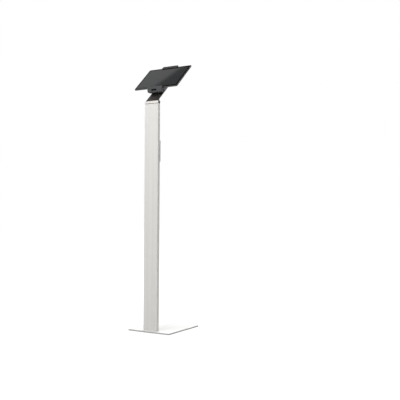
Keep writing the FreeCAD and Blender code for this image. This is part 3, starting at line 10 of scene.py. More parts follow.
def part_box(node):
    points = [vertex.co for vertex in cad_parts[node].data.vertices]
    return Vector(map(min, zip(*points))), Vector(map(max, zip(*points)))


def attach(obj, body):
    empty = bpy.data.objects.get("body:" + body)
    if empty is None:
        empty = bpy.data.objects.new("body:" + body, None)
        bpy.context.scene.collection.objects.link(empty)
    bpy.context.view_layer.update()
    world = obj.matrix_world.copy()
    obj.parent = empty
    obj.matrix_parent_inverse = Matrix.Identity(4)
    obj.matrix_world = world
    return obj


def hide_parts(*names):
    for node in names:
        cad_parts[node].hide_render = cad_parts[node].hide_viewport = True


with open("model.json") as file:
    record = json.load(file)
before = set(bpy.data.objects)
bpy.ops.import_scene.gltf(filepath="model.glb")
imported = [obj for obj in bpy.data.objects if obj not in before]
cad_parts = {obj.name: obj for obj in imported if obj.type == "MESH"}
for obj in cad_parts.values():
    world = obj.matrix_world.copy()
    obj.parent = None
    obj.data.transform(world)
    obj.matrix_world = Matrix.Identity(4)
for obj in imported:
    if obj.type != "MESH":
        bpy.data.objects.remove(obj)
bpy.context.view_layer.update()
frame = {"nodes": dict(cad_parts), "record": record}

bl_info = {
    "name": "Tablet floor stand",
    "version": (1, 0, 0),
    "blender": (4, 5, 0),
    "location": "3D View > Sidebar > Stand",
    "description": "Dresses the tablet floor stand: plate, column, neck, clamp head, tablet and cable box",
    "category": "Add Mesh",
}

MM = 0.001
# Places closer than this count as one
TOUCH = 0.0001 * MM
# Edges sharper than this stay sharp when a mesh is shaded smooth
SHARP_ANGLE = math.radians(35)
nodes = frame["nodes"]
slot_of = {entry["node"]: entry["material_slot"] for entry in frame["record"]["subparts"]}


# Places

def joint(name):
    """The record's entry for one joint."""
    return next(entry for entry in frame["record"]["behaviour"]["joints"] if entry["name"] == name)


def head_frame():
    """Matrix of the clamp head: x across, y up the neck and z out of the neck, from the pivot."""
    out = Vector(joint("head_turn")["axis"])
    across = Vector((1, 0, 0))
    up = out.cross(across)
    turn = Matrix((across, up, out)).transposed().to_4x4()
    return Matrix.Translation(joint("head_turn")["pos_m"]) @ turn


HEAD = head_frame()
TILT = math.atan2(HEAD[2][1], HEAD[1][1])


def head_points(node):
    """Points of a CAD node, measured from the pivot in the head's own directions."""
    to_head = HEAD.inverted()
    return [to_head @ vertex.co for vertex in nodes[node].data.vertices]


def head_box(node):
    """Lowest and highest corner of a CAD node in the head's own directions."""
    points = head_points(node)
    low = Vector([min(point[axis] for point in points) for axis in range(3)])
    high = Vector([max(point[axis] for point in points) for axis in range(3)])
    return low, high


# Sizes and colours that a user would change

def linear(code):
    """Linear red, green, blue and alpha of a screen colour written as six hexadecimal digits."""
    values = []
    for start in (0, 2, 4):
        share = int(code[start:start + 2], 16) / 255
        values.append(share / 12.92 if share <= 0.04045 else ((share + 0.055) / 1.055) ** 2.4)
    return (*values, 1.0)


def shade(colour, factor):
    """A lighter or darker copy of a colour."""
    return (*[min(1.0, part * factor) for part in list(colour)[:3]], 1.0)


def grey(level):
    """An even grey, from 0, black, to 1, white."""
    return (level, level, level, 1.0)


def colour_property(name, code, description):
    """A colour in the panel."""
    return FloatVectorProperty(name=name, description=description, subtype="COLOR", size=4,
                               min=0, max=1, default=linear(code))


def length_property(name, millimetres, description):
    """A length in the panel, which Blender keeps in metres."""
    return FloatProperty(name=name, description=description, unit="LENGTH", min=0,
                         precision=5, default=millimetres * MM)


class StandColours(bpy.types.PropertyGroup):
    """Colours of the stand's finishes."""

    plate: colour_property("Plate", "F2F2F1", "Powder coat of the base plate")
    column: colour_property("Column", "D2D1CD", "Anodised column")
    neck: colour_property("Neck", "9A9793", "Satin metal of the bent neck")
    block: colour_property("Neck block", "2E2F31", "Anodised block between the neck's legs")
    housing: colour_property("Housing", "353638", "Moulded housing and jaws")
    tablet: colour_property("Tablet back", "737477", "Blasted metal of the tablet's back")
    bezel: colour_property("Bezel", "0C0C0D", "Border of the tablet's glass")
    display: colour_property("Display", "2E2F30", "Dark display behind the glass")
    rubber: colour_property("Rubber", "1C1C1D", "Pads and jaw linings")
    steel: colour_property("Steel", "B4B5B7", "Plated screws, nuts and slide")
    oxide: colour_property("Black steel", "26272A", "Blackened steel pieces")
    acetal: colour_property("Acetal", "E6E4DF", "Slide guides and friction washer")
    nickel: colour_property("Lock", "C6C5C2", "Nickel of the lock")


class StandSizes(bpy.types.PropertyGroup):
    """Sizes of the fine detail."""

    pad_groove: length_property("Pad groove", 0.35, "Depth of the rings in a rubber pad")
    pad_rings: IntProperty(name="Pad rings", description="Rings in a rubber pad", min=1, max=8, default=4)
    lining_rib: length_property("Lining rib", 2.0, "Distance between the ribs of a jaw lining")
    glass_corner: length_property("Glass corner", 3.8, "Radius of the corners of the tablet's glass")
    glass_edge: length_property("Glass edge", 0.25, "Bevel round the tablet's glass")
    display_border: length_property("Display border", 10.0, "Glass round the display")
    camera_radius: length_property("Camera", 1.6, "Radius of the tablet's front camera")
    camera_crown: length_property("Camera crown", 0.05, "Height of the front camera's middle")
    camera_rim: length_property("Camera rim", 0.03, "Height of the front camera's rim")


class StandStage(bpy.types.PropertyGroup):
    """Light and lens round the stand."""

    sky: FloatProperty(name="Sky", description="Strength of the even light", min=0, default=0.28)
    front: FloatProperty(name="Front box", description="Power of the soft box before the stand in watts",
                         min=0, default=60)
    rear: FloatProperty(name="Rear box", description="Power of the soft box behind the stand in watts",
                        min=0, default=65)
    top: FloatProperty(name="Top box", description="Power of the soft box over the stand in watts",
                       min=0, default=18)
    lens: FloatProperty(name="Lens", description="Focal length in millimetres", min=1, default=57.8)


# Shader maths

class Value:
    """A shader socket that takes part in maths; every operation adds a Math node."""

    def __init__(self, recipe, socket):
        self.recipe = recipe
        self.socket = socket

    def maths(self, operation, first, second):
        return self.recipe.node("ShaderNodeMath", {"operation": operation}, {0: first, 1: second})

    def __add__(self, other):
        return self.maths("ADD", self, other)

    def __radd__(self, other):
        return self.maths("ADD", other, self)

    def __sub__(self, other):
        return self.maths("SUBTRACT", self, other)

    def __rsub__(self, other):
        return self.maths("SUBTRACT", other, self)

    def __mul__(self, other):
        return self.maths("MULTIPLY", self, other)

    def __lt__(self, other):
        return self.maths("LESS_THAN", self, other)

    def __abs__(self):
        return self.maths("ABSOLUTE", self, 0.0)

    def clamped(self):
        """The same value, held between 0 and 1."""
        return self.recipe.node("ShaderNodeClamp", {}, {"Value": self})

    def soft_step(self, low, high):
        """0 below low, 1 above high and smooth in between."""
        return self.recipe.node("ShaderNodeMapRange", {"interpolation_type": "SMOOTHSTEP"},
                                {"Value": self, "From Min": low, "From Max": high})


class Recipe:
    """One material, or a world's light, made node by node. Its lengths are in metres."""

    def __init__(self, name, library=None):
        self.owner = (bpy.data.materials if library is None else library).new(name)
        self.owner.use_nodes = True
        self.tree = self.owner.node_tree
        self.tree.nodes.clear()

    def node(self, kind, settings, sockets, result=0):
        """Add a node, set it up, feed its sockets and return the socket that it gives."""
        node = self.tree.nodes.new(kind)
        for name, value in settings.items():
            setattr(node, name, value)
        for name, value in sockets.items():
            if isinstance(value, Value):
                self.tree.links.new(value.socket, node.inputs[name])
            else:
                node.inputs[name].default_value = value
        return Value(self, node.outputs[result]) if len(node.outputs) else None

    def vector_maths(self, operation, first, second=(0, 0, 0)):
        """A number worked out from one or two vectors."""
        return self.node("ShaderNodeVectorMath", {"operation": operation}, {0: first, 1: second}, "Value")

    def place(self):
        """The surface's own place."""
        return self.node("ShaderNodeTexCoord", {}, {}, "Object")

    def turned(self, place, scale=(1, 1, 1), origin=(0, 0, 0), rotation=(0, 0, 0)):
        """A place measured from an origin in turned directions, then stretched."""
        moved = self.node("ShaderNodeMapping", {"vector_type": "TEXTURE"},
                          {"Vector": place, "Location": origin, "Rotation": rotation})
        return self.node("ShaderNodeMapping", {"vector_type": "POINT"}, {"Vector": moved, "Scale": scale})

    def along_head(self, place, origin, scale=(1, 1, 1)):
        """A place measured from an origin in the head's own directions, then stretched."""
        return self.turned(place, scale, origin, (TILT, 0, 0))

    def part(self, place, axis):
        """One coordinate of a place: 0 for x, 1 for y and 2 for z."""
        return self.node("ShaderNodeSeparateXYZ", {}, {0: place}, axis)

    def noise(self, place, scale, detail=2.0, roughness=0.5):
        """Smooth noise with so many waves in a metre."""
        return self.node("ShaderNodeTexNoise", {}, {"Vector": place, "Scale": scale, "Detail": detail,
                                                     "Roughness": roughness})

    def rings(self, place, scale):
        """Uneven rings round the origin of a place, with so many waves in a metre."""
        radius = self.vector_maths("LENGTH", place)
        return self.node("ShaderNodeTexNoise", {"noise_dimensions": "1D"},
                         {"W": radius, "Scale": scale, "Detail": 3.0})

    def cells(self, place, scale):
        """Distance to the nearest of many scattered points, about so many along a metre."""
        return self.node("ShaderNodeTexVoronoi", {}, {"Vector": place, "Scale": scale}, "Distance")

    def blend(self, share, first, second):
        """A colour between two; the Mix node's colours are its sockets 6 and 7 and its result 2."""
        return self.node("ShaderNodeMix", {"data_type": "RGBA"}, {0: share, 6: first, 7: second}, 2)

    def soft_edges(self, radius):
        """Surface direction with every sharp edge rounded to a radius."""
        return self.node("ShaderNodeBevel", {"samples": 4}, {"Radius": radius}, "Normal")

    def near_edges(self, soft):
        """1 on the edges that soft_edges rounds, and 0 on the flats."""
        flat = self.node("ShaderNodeNewGeometry", {}, {}, "Normal")
        return (1 - self.vector_maths("DOT_PRODUCT", soft, flat)).soft_step(0.01, 0.2)

    def faces(self, direction):
        """1 where a piece that stays put faces along a direction or against it, and 0 where across."""
        flat = self.node("ShaderNodeNewGeometry", {}, {}, "True Normal")
        return abs(self.vector_maths("DOT_PRODUCT", flat, direction)).soft_step(0.8, 0.95)

    def bump(self, height, depth, strength, soft=None):
        """Surface direction bent by a height from 0 to 1 that stands for a depth."""
        sockets = {"Height": height, "Distance": depth, "Strength": strength}
        if soft is not None:
            sockets["Normal"] = soft
        return self.node("ShaderNodeBump", {}, sockets, "Normal")

    def surface(self, **sockets):
        """Finish the material with one main shader; a socket's name has _ for each space."""
        named = {name.replace("_", " "): value for name, value in sockets.items()}
        return self.finish(self.node("ShaderNodeBsdfPrincipled", {}, named))

    def finish(self, shader, output="ShaderNodeOutputMaterial"):
        """Lead a shader to the output and return the finished material or world."""
        self.node(output, {}, {"Surface": shader})
        return self.owner


# Radii of softened edges, and depths of grain in a surface

FINE_EDGE = 0.2 * MM
CUT_EDGE = 0.4 * MM
FORMED_EDGE = 0.5 * MM
POLISHING_MARKS = 0.02 * MM
FINE_GRAIN = 0.03 * MM
ORANGE_PEEL = 0.06 * MM
MOULD_GRAIN = 0.08 * MM


# Materials

def powder_coat(colour):
    """Satin powder coat with fine orange peel and faint scuffs, greyer in patches on its rounded edges,
    and with painted shade on the plate's sides.
    """
    recipe = Recipe("plate_powder_coat")
    place = recipe.place()
    peel = recipe.noise(place, 620, 2, 0.4)
    speck = recipe.noise(place, 2400, 1)
    cloud = recipe.noise(place, 9, 3)
    streaks = recipe.turned(place, (60, 4, 60), rotation=(0, 0, 0.6))
    scuff = recipe.noise(streaks, 5, 4, 0.7).soft_step(0.62, 0.8)
    soft = recipe.soft_edges(CUT_EDGE)
    thin = recipe.near_edges(soft)
    # Painted shade: the plate's sides, which face neither up nor down, are darkened to stand for the shade
    # on them
    sides = 1 - recipe.faces((0, 0, 1))
    tone = recipe.blend(cloud.soft_step(0.35, 0.7), shade(colour, 0.97), shade(colour, 1.02))
    tone = recipe.blend(scuff * 0.12, tone, shade(colour, 0.8))
    tone = recipe.blend(sides * (0.8 + cloud * 0.2), tone, shade(colour, 0.42))
    tone = recipe.blend(thin * peel * 0.5, tone, shade(colour, 0.5))
    return recipe.surface(
        Base_Color=tone, Roughness=0.38 + peel * 0.08 + scuff * 0.15,
        Normal=recipe.bump(peel * 0.8 + speck * 0.2, ORANGE_PEEL, 0.5, soft))


def anodised_extrusion(colour):
    """Extruded and anodised metal: die lines that run up the column, in bands of different width."""
    recipe = Recipe("column_anodised")
    place = recipe.place()
    lines = recipe.noise(recipe.turned(place, (1, 1, 0.002)), 1500, 3, 0.6)
    bands = recipe.noise(recipe.turned(place, (1, 1, 0.006)), 180, 2)
    grain = recipe.noise(place, 5200, 1)
    cloud = recipe.noise(recipe.turned(place, (1, 1, 0.3)), 7, 2)
    soft = recipe.soft_edges(FORMED_EDGE)
    polished = recipe.near_edges(soft)
    tone = recipe.blend(bands.soft_step(0.3, 0.7), shade(colour, 0.97), shade(colour, 1.03))
    tone = recipe.blend(lines.soft_step(0.55, 0.75) * 0.25, tone, shade(colour, 0.9))
    tone = recipe.blend(polished * cloud * 0.6, tone, shade(colour, 1.12))
    return recipe.surface(
        Base_Color=tone, Metallic=0.15, Roughness=0.42 + lines * 0.1 + cloud * 0.06 - polished * 0.12,
        Normal=recipe.bump(lines * 0.7 + grain * 0.3, FINE_GRAIN, 0.5, soft))


def satin_sheet(colour):
    """Bent sheet metal, ground up and down its own slope, with painted shade on its side edges, which are
    made dark, dull and less metallic.
    """
    recipe = Recipe("neck_satin_metal")
    place = recipe.place()
    slope = recipe.along_head(place, HEAD.translation, (1, 0.012, 1))
    scratches = recipe.noise(slope, 1900, 4, 0.7)
    bands = recipe.noise(slope, 260, 2)
    cloud = recipe.noise(place, 22, 3)
    # Painted shade: the side edges, which face across x, are darkened, dulled and made less metallic to
    # stand for the shade on them
    painted_edge_shade = recipe.faces((1, 0, 0))
    tone = recipe.blend(bands, shade(colour, 0.92), shade(colour, 1.06))
    tone = recipe.blend(cloud.soft_step(0.5, 0.72) * 0.2, tone, shade(colour, 0.86))
    tone = recipe.blend(painted_edge_shade * (0.85 + bands * 0.15), tone, shade(colour, 0.12))
    return recipe.surface(
        Base_Color=tone, Metallic=1 - painted_edge_shade * 0.7, Roughness=0.24 + scratches * 0.12 + painted_edge_shade * 0.3,
        Normal=recipe.bump(scratches, FINE_GRAIN, 0.5, recipe.soft_edges(CUT_EDGE)))


def ground_stud(colour):
    """The stud's steel, whose head was ground flush with the neck in fine rings."""
    recipe = Recipe("pivot_stud_ground")
    place = recipe.place()
    rings = recipe.rings(recipe.along_head(place, HEAD.translation, (1, 1, 0)), 3400)
    cloud = recipe.noise(place, 160, 3)
    tone = recipe.blend(rings, shade(colour, 0.9), shade(colour, 1.04))
    tone = recipe.blend(cloud.soft_step(0.5, 0.7) * 0.2, tone, shade(colour, 0.8))
    return recipe.surface(
        Base_Color=tone, Metallic=1.0, Roughness=0.27 + rings * 0.12,
        Normal=recipe.bump(rings, POLISHING_MARKS, 0.5, recipe.soft_edges(FINE_EDGE)))


def matte_anodised(colour):
    """Fine blasted and anodised metal, a little brighter on its edges."""
    recipe = Recipe("block_anodised")
    place = recipe.place()
    grain = recipe.noise(place, 4200, 2)
    cloud = recipe.noise(place, 60, 2)
    soft = recipe.soft_edges(CUT_EDGE)
    bright = recipe.near_edges(soft) * cloud.soft_step(0.4, 0.7)
    tone = recipe.blend(cloud, shade(colour, 0.9), shade(colour, 1.1))
    tone = recipe.blend(bright * 0.5, tone, shade(colour, 2.5))
    return recipe.surface(Base_Color=tone, Metallic=0.7, Roughness=0.42 + grain * 0.12,
                          Normal=recipe.bump(grain, FINE_GRAIN, 0.5, soft))


def moulded_plastic(colour):
    """Spark-eroded mould texture, a little smoother where hands and cloths have rubbed it."""
    recipe = Recipe("housing_moulded")
    place = recipe.place()
    pits = recipe.cells(place, 1700)
    fine = recipe.noise(place, 3800, 2)
    flow = recipe.noise(place, 34, 3, 0.6)
    rubbed = flow.soft_step(0.48, 0.75)
    soft = recipe.soft_edges(FORMED_EDGE)
    worn = recipe.near_edges(soft) * (0.4 + rubbed * 0.6)
    tone = recipe.blend(flow, shade(colour, 0.93), shade(colour, 1.06))
    tone = recipe.blend(pits.soft_step(0.0, 0.4) * 0.25, shade(colour, 0.88), tone)
    tone = recipe.blend(worn * 0.35, tone, shade(colour, 2.2))
    return recipe.surface(
        Base_Color=tone, Roughness=0.56 + fine * 0.12 - rubbed * 0.1 - worn * 0.1,
        Normal=recipe.bump(pits * 0.6 + fine * 0.4, MOULD_GRAIN, 0.55, soft))


def dull_rubber(colour):
    """Matte rubber with pale dust in patches."""
    recipe = Recipe("pad_rubber")
    place = recipe.place()
    grain = recipe.noise(place, 2600, 3)
    dust = recipe.noise(place, 120, 4, 0.7).soft_step(0.55, 0.8)
    tone = recipe.blend(dust * 0.3, colour, shade(colour, 2.4))
    return recipe.surface(Base_Color=tone, Roughness=0.78 + grain * 0.14,
                          Normal=recipe.bump(grain, MOULD_GRAIN, 0.6))


def plated_steel(colour):
    """Zinc plate with faint crystal patches and a fine grain."""
    recipe = Recipe("plated_steel")
    place = recipe.place()
    crystals = recipe.cells(place, 420)
    grain = recipe.noise(place, 3000, 3)
    tone = recipe.blend(crystals, shade(colour, 0.9), shade(colour, 1.08))
    return recipe.surface(
        Base_Color=tone, Metallic=1.0, Roughness=0.26 + crystals * 0.15 + grain * 0.08,
        Normal=recipe.bump(grain, POLISHING_MARKS, 0.5, recipe.soft_edges(FINE_EDGE)))


def black_oxide(colour):
    """Blackened steel, worn to bare metal in spots and on its edges."""
    recipe = Recipe("black_oxide")
    place = recipe.place()
    grain = recipe.noise(place, 2600, 3)
    worn = recipe.noise(place, 240, 4, 0.7).soft_step(0.6, 0.85)
    soft = recipe.soft_edges(FINE_EDGE)
    bare = (worn + recipe.near_edges(soft) * 0.6).clamped()
    tone = recipe.blend(bare * 0.4, colour, shade(colour, 3.0))
    return recipe.surface(Base_Color=tone, Metallic=0.75, Roughness=0.4 + grain * 0.15,
                          Normal=recipe.bump(grain, FINE_GRAIN, 0.5, soft))


def natural_acetal(colour):
    """Waxy white plastic, as it comes off the machine."""
    recipe = Recipe("natural_acetal")
    place = recipe.place()
    waxy = recipe.noise(place, 90, 3)
    grain = recipe.noise(place, 2200, 2)
    tone = recipe.blend(waxy, shade(colour, 0.95), colour)
    return recipe.surface(Base_Color=tone, Roughness=0.3 + grain * 0.12,
                          Normal=recipe.bump(grain, FINE_GRAIN, 0.4))


def turned_nickel(colour):
    """Nickel plate with rings round the lock's axis."""
    recipe = Recipe("lock_nickel")
    axis = Vector(joint("lock_turn")["pos_m"])
    rings = recipe.rings(recipe.along_head(recipe.place(), axis, (1, 0, 1)), 5200)
    tone = recipe.blend(rings, shade(colour, 0.9), shade(colour, 1.05))
    return recipe.surface(Base_Color=tone, Metallic=1.0, Roughness=0.16 + rings * 0.16,
                          Normal=recipe.bump(rings, POLISHING_MARKS, 0.6))


def blasted_tablet(colour):
    """Bead-blasted and anodised tablet back, dark on the sides round the glass."""
    recipe = Recipe("tablet_blasted")
    low, high = head_box("tablet_shell")
    place = recipe.place()
    grain = recipe.noise(place, 6500, 2)
    cloud = recipe.noise(place, 14, 2)
    smear = recipe.noise(place, 45, 4, 0.7).soft_step(0.6, 0.8)
    out = recipe.part(recipe.along_head(place, HEAD @ ((low + high) / 2)), 2)
    back_ends, sides_start = -1.4 * MM, -0.4 * MM
    tone = recipe.blend(cloud, shade(colour, 0.97), shade(colour, 1.03))
    tone = recipe.blend(out.soft_step(back_ends, sides_start), tone, shade(colour, 0.4))
    return recipe.surface(Base_Color=tone, Metallic=0.6, Roughness=0.44 + grain * 0.1 - smear * 0.06,
                          Normal=recipe.bump(grain, FINE_GRAIN, 0.5))


def tablet_glass(bezel, display):
    """Black-bordered glass over a dark display, with faint finger smears."""
    recipe = Recipe("tablet_glass_front")
    border = bpy.context.scene.stand_sizes.display_border
    low, high = head_box("tablet_glass")
    half = (high - low) / 2
    place = recipe.place()
    local = recipe.along_head(place, HEAD @ ((low + high) / 2))
    inside = ((abs(recipe.part(local, 0)) < half.x - border)
              * (abs(recipe.part(local, 1)) < half.y - border))
    strokes = recipe.turned(place, (1, 0.4, 1), rotation=(0.5, 0.2, 0.9))
    smear = recipe.noise(strokes, 70, 5, 0.75).soft_step(0.52, 0.85)
    dust = recipe.noise(place, 1800, 1).soft_step(0.72, 0.8)
    tone = recipe.blend(inside, bezel, display)
    tone = recipe.blend(dust * 0.15, tone, grey(0.3))
    return recipe.surface(Base_Color=tone, Roughness=0.05 + smear * 0.12 + dust * 0.2, IOR=1.52)


def camera_lens():
    """Coated blue-black glass of the tablet's front camera."""
    recipe = Recipe("camera_lens")
    tint = recipe.noise(recipe.place(), 900, 1)
    tone = recipe.blend(tint, (0.004, 0.005, 0.012, 1), (0.01, 0.012, 0.03, 1))
    return recipe.surface(Base_Color=tone, Roughness=0.04 + tint * 0.02, Coat_Weight=1.0)


# Each finish, with the colours that it is made from. The last two aren't slots of the record.
FINISHES = {
    "plate_white": (powder_coat, "plate"),
    "anodised_silver": (anodised_extrusion, "column"),
    "neck_satin": (satin_sheet, "neck"),
    "block_black": (matte_anodised, "block"),
    "head_grey": (moulded_plastic, "housing"),
    "rubber_black": (dull_rubber, "rubber"),
    "steel_plain": (plated_steel, "steel"),
    "steel_black": (black_oxide, "oxide"),
    "acetal_white": (natural_acetal, "acetal"),
    "lock_metal": (turned_nickel, "nickel"),
    "tablet_metal": (blasted_tablet, "tablet"),
    "glass_dark": (tablet_glass, "bezel", "display"),
    "stud": (ground_stud, "neck"),
    "lens": (camera_lens,),
}
materials = {}


def material(finish):
    """The material of a finish, made from the panel's colours when it is first asked for."""
    if finish not in materials:
        make, *colours = FINISHES[finish]
        panel = bpy.context.scene.stand_colours
        materials[finish] = make(*[getattr(panel, colour) for colour in colours])
    return materials[finish]


def coat(node, finish):
    """Give a CAD node one finish."""
    mesh = nodes[node].data
    mesh.materials.clear()
    mesh.materials.append(material(finish))


def dress(*names):
    """Give CAD nodes the finish of their own material slot."""
    for name in names:
        coat(name, slot_of[name])


# Mesh tools

def block(shape, low, high):
    """Add a box between two corners."""
    low, high = Vector(low), Vector(high)
    matrix = Matrix.Translation((low + high) / 2) @ Matrix.Diagonal((*(high - low), 1))
    bmesh.ops.create_cube(shape, size=1, matrix=matrix)


def bevel(shape, wanted, width, segments):
    """Round the edges for which wanted(edge) holds."""
    edges = [edge for edge in shape.edges if wanted(edge)]
    bmesh.ops.bevel(shape, geom=edges, offset=width, offset_type="OFFSET", segments=segments,
                    profile=0.5, affect="EDGES", material=-1, clamp_overlap=True)


def runs_along(edge, axis):
    """Whether an edge is parallel to an axis."""
    start, end = (vertex.co for vertex in edge.verts)
    return all(abs(start[other] - end[other]) < TOUCH for other in range(3) if other != axis)


def lies_at(edge, axis, value):
    """Whether an edge lies in the plane where an axis has a value."""
    return all(abs(vertex.co[axis] - value) < TOUCH for vertex in edge.verts)


def turned_solid(shape, profile, steps):
    """Spin an outline of radius and height pairs round the z axis."""
    points = [shape.verts.new((radius, 0, height)) for radius, height in profile]
    edges = [shape.edges.new(pair) for pair in zip(points, points[1:])]
    bmesh.ops.spin(shape, geom=points + edges, cent=(0, 0, 0), axis=(0, 0, 1), angle=2 * math.pi,
                   steps=steps, use_merge=True)
    bmesh.ops.remove_doubles(shape, verts=shape.verts, dist=TOUCH)


def add_shape(target, source):
    """Move a finished shape into another one."""
    mesh = bpy.data.meshes.new("part")
    source.to_mesh(mesh)
    source.free()
    target.from_mesh(mesh)
    bpy.data.meshes.remove(mesh)


def mesh_object(name, shape, skin):
    """Turn a shape into an object of the scene with one material."""
    mesh = bpy.data.meshes.new(name)
    shape.to_mesh(mesh)
    shape.free()
    mesh.materials.append(skin)
    thing = bpy.data.objects.new(name, mesh)
    bpy.context.scene.collection.objects.link(thing)
    return thing


def finish_piece(name, shape, finish, body, stands_for=(), matrix=None):
    """Make a piece of the stand from a shape: placed, smoothed, finished and riding on a body."""
    if matrix is not None:
        bmesh.ops.transform(shape, matrix=matrix, verts=shape.verts)
    bmesh.ops.recalc_face_normals(shape, faces=shape.faces)
    piece = mesh_object(name, shape, material(finish))
    piece.data.shade_smooth()
    piece.data.set_sharp_from_angle(angle=SHARP_ANGLE)
    # Keeps the wide faces flat, so that only the rounded edges bend the light
    piece.modifiers.new("level_flats", "WEIGHTED_NORMAL").keep_sharp = True
    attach(piece, body)
    if stands_for:
        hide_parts(*stands_for)


# Operators, one for each piece or group of like pieces

class STAND_OT_base(bpy.types.Operator):
    """Finish the base plate, its screws and foot blocks, and make the ringed rubber pads"""

    bl_idname = "stand.base"
    bl_label = "Base"

    def execute(self, context):
        sizes = context.scene.stand_sizes
        dress("base_plate", "base_screws", "foot_blocks", "foot_lock_screw")
        low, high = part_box("base_pads")
        radius = pad_radius(low, high)
        outline = pad_outline(radius, high.z - low.z, sizes.pad_rings, sizes.pad_groove)
        shape = bmesh.new()
        for across in (low.x + radius, high.x - radius):
            for along in (low.y + radius, high.y - radius):
                pad = bmesh.new()
                turned_solid(pad, outline, steps=40)
                bmesh.ops.translate(pad, vec=(across, along, low.z), verts=pad.verts)
                add_shape(shape, pad)
        finish_piece("floor_pads", shape, "rubber_black", "stand", ("base_pads",))
        return {"FINISHED"}


def pad_radius(low, high):
    """A pad's radius, from the points of the pad in the corner with the lowest x and y."""
    middle = (low + high) / 2
    points = [vertex.co for vertex in nodes["base_pads"].data.vertices]
    across = [point.x for point in points if point.x < middle.x and point.y < middle.y]
    return (max(across) - min(across)) / 2


def pad_outline(radius, height, rings, groove):
    """Outline of a round pad, from the middle of its underside to the middle of its top."""
    edge = height / 6
    step = (radius - edge) / (rings + 0.5)
    mouth, floor = step * 0.2, step * 0.1
    outline = [(0, 0)]
    for number in range(1, rings + 1):
        middle = step * number
        outline += [(middle - mouth, 0), (middle - floor, groove),
                    (middle + floor, groove), (middle + mouth, 0)]
    return outline + [(radius - edge, 0), (radius, edge), (radius, height), (0, height)]


class STAND_OT_column(bpy.types.Operator):
    """Finish the slotted column"""

    bl_idname = "stand.column"
    bl_label = "Column"

    def execute(self, context):
        dress("column")
        return {"FINISHED"}


class STAND_OT_neck(bpy.types.Operator):
    """Finish the bent neck, the block under it and their screws"""

    bl_idname = "stand.neck"
    bl_label = "Neck"

    def execute(self, context):
        dress("neck_bracket", "neck_block", "neck_screws", "neck_lock_screws")
        return {"FINISHED"}


class STAND_OT_pivot(bpy.types.Operator):
    """Finish the stud, washers and nut that the head turns on"""

    bl_idname = "stand.pivot"
    bl_label = "Pivot"

    def execute(self, context):
        dress("friction_washer", "spring_washer", "pivot_nut")
        coat("pivot_stud", "stud")
        return {"FINISHED"}


class STAND_OT_housing(bpy.types.Operator):
    """Finish the rear shell, the front plate and its rest pad"""

    bl_idname = "stand.housing"
    bl_label = "Housing"

    def execute(self, context):
        dress("rear_shell", "front_plate", "front_plate_screws", "rest_pad")
        return {"FINISHED"}


class STAND_OT_jaws(bpy.types.Operator):
    """Finish both jaws and make their ribbed rubber linings"""

    bl_idname = "stand.jaws"
    bl_label = "Jaws"

    def execute(self, context):
        dress("lower_jaw", "lower_jaw_screws", "upper_jaw", "upper_jaw_screws")
        pitch = context.scene.stand_sizes.lining_rib
        make_lining("upper_lining", "upper_jaw_pad", "jaw", pitch)
        make_lining("lower_lining", "lower_jaw_pad", "head", pitch)
        return {"FINISHED"}


# A lining's ribs: their height as a share of its thickness, how much of it is sunk in the strip,
# their width as a share of their distance, and how far they stay from the lining's sides

RIB_HEIGHT = 0.45
RIB_ROOT = 0.2
RIB_WIDTH = 0.6
RIB_MARGIN = 0.3


def make_lining(name, node, body, pitch):
    """A rubber strip with ribs across it on the face that meets the tablet."""
    low, high = head_box(node)
    glass_low, glass_high = head_box("tablet_glass")
    rib = (high.y - low.y) * RIB_HEIGHT
    root = rib * RIB_ROOT
    if low.y > (glass_low.y + glass_high.y) / 2:
        strip, ribs = (low.y + rib, high.y), (low.y, low.y + rib + root)
    else:
        strip, ribs = (low.y, high.y - rib), (high.y - rib - root, high.y)
    notch = lining_notch(node, low, high)
    step = (high.x - low.x) / int((high.x - low.x) / pitch)
    margin = step * RIB_MARGIN
    shape = bmesh.new()
    add_strip(shape, low, high, strip, notch)
    add_ribs(shape, low, high, ribs, notch, step, margin)
    bevel(shape, lambda edge: edge.calc_length() > margin, root, segments=1)
    finish_piece(name, shape, "rubber_black", body, (node,), HEAD)


def lining_notch(node, low, high):
    """Left and right side of a lining's notch and how far out it reaches, or None where it has none."""
    inner = [point for point in head_points(node) if low.x + MM < point.x < high.x - MM]
    if not inner:
        return None
    across = [point.x for point in inner]
    return min(across), max(across), max(point.z for point in inner)


def add_strip(shape, low, high, strip, notch):
    """Add a lining's flat strip between two heights, open where it has its notch."""
    outline = [(low.x, low.z), (high.x, low.z), (high.x, high.z), (low.x, high.z)]
    if notch:
        left, right, depth = notch
        outline[1:1] = [(left, low.z), (left, depth), (right, depth), (right, low.z)]
    bottom, top = strip
    face = shape.faces.new([shape.verts.new((across, bottom, out)) for across, out in outline])
    grown = bmesh.ops.extrude_face_region(shape, geom=[face])["geom"]
    raised = [item for item in grown if isinstance(item, bmesh.types.BMVert)]
    bmesh.ops.translate(shape, vec=(0, top - bottom, 0), verts=raised)


def add_ribs(shape, low, high, ribs, notch, step, margin):
    """Add a lining's ribs, a step apart, short of its ends by a margin and shorter still at its notch."""
    bottom, top = ribs
    for number in range(round((high.x - low.x) / step)):
        left = low.x + step * (number + (1 - RIB_WIDTH) / 2)
        right = left + step * RIB_WIDTH
        beside_notch = notch and right > notch[0] and left < notch[1]
        start = margin + (notch[2] if beside_notch else low.z)
        if high.z - margin > start:
            block(shape, (left, bottom, start), (right, top, high.z - margin))


class STAND_OT_slide(bpy.types.Operator):
    """Finish the toothed slide, its guides and the pawl"""

    bl_idname = "stand.slide"
    bl_label = "Slide"

    def execute(self, context):
        dress("slide_frame", "slide_guides", "lock_pawl")
        return {"FINISHED"}


class STAND_OT_lock(bpy.types.Operator):
    """Finish the key lock"""

    bl_idname = "stand.lock"
    bl_label = "Lock"

    def execute(self, context):
        dress("lock_sleeve", "lock_plug", "lock_nut")
        return {"FINISHED"}


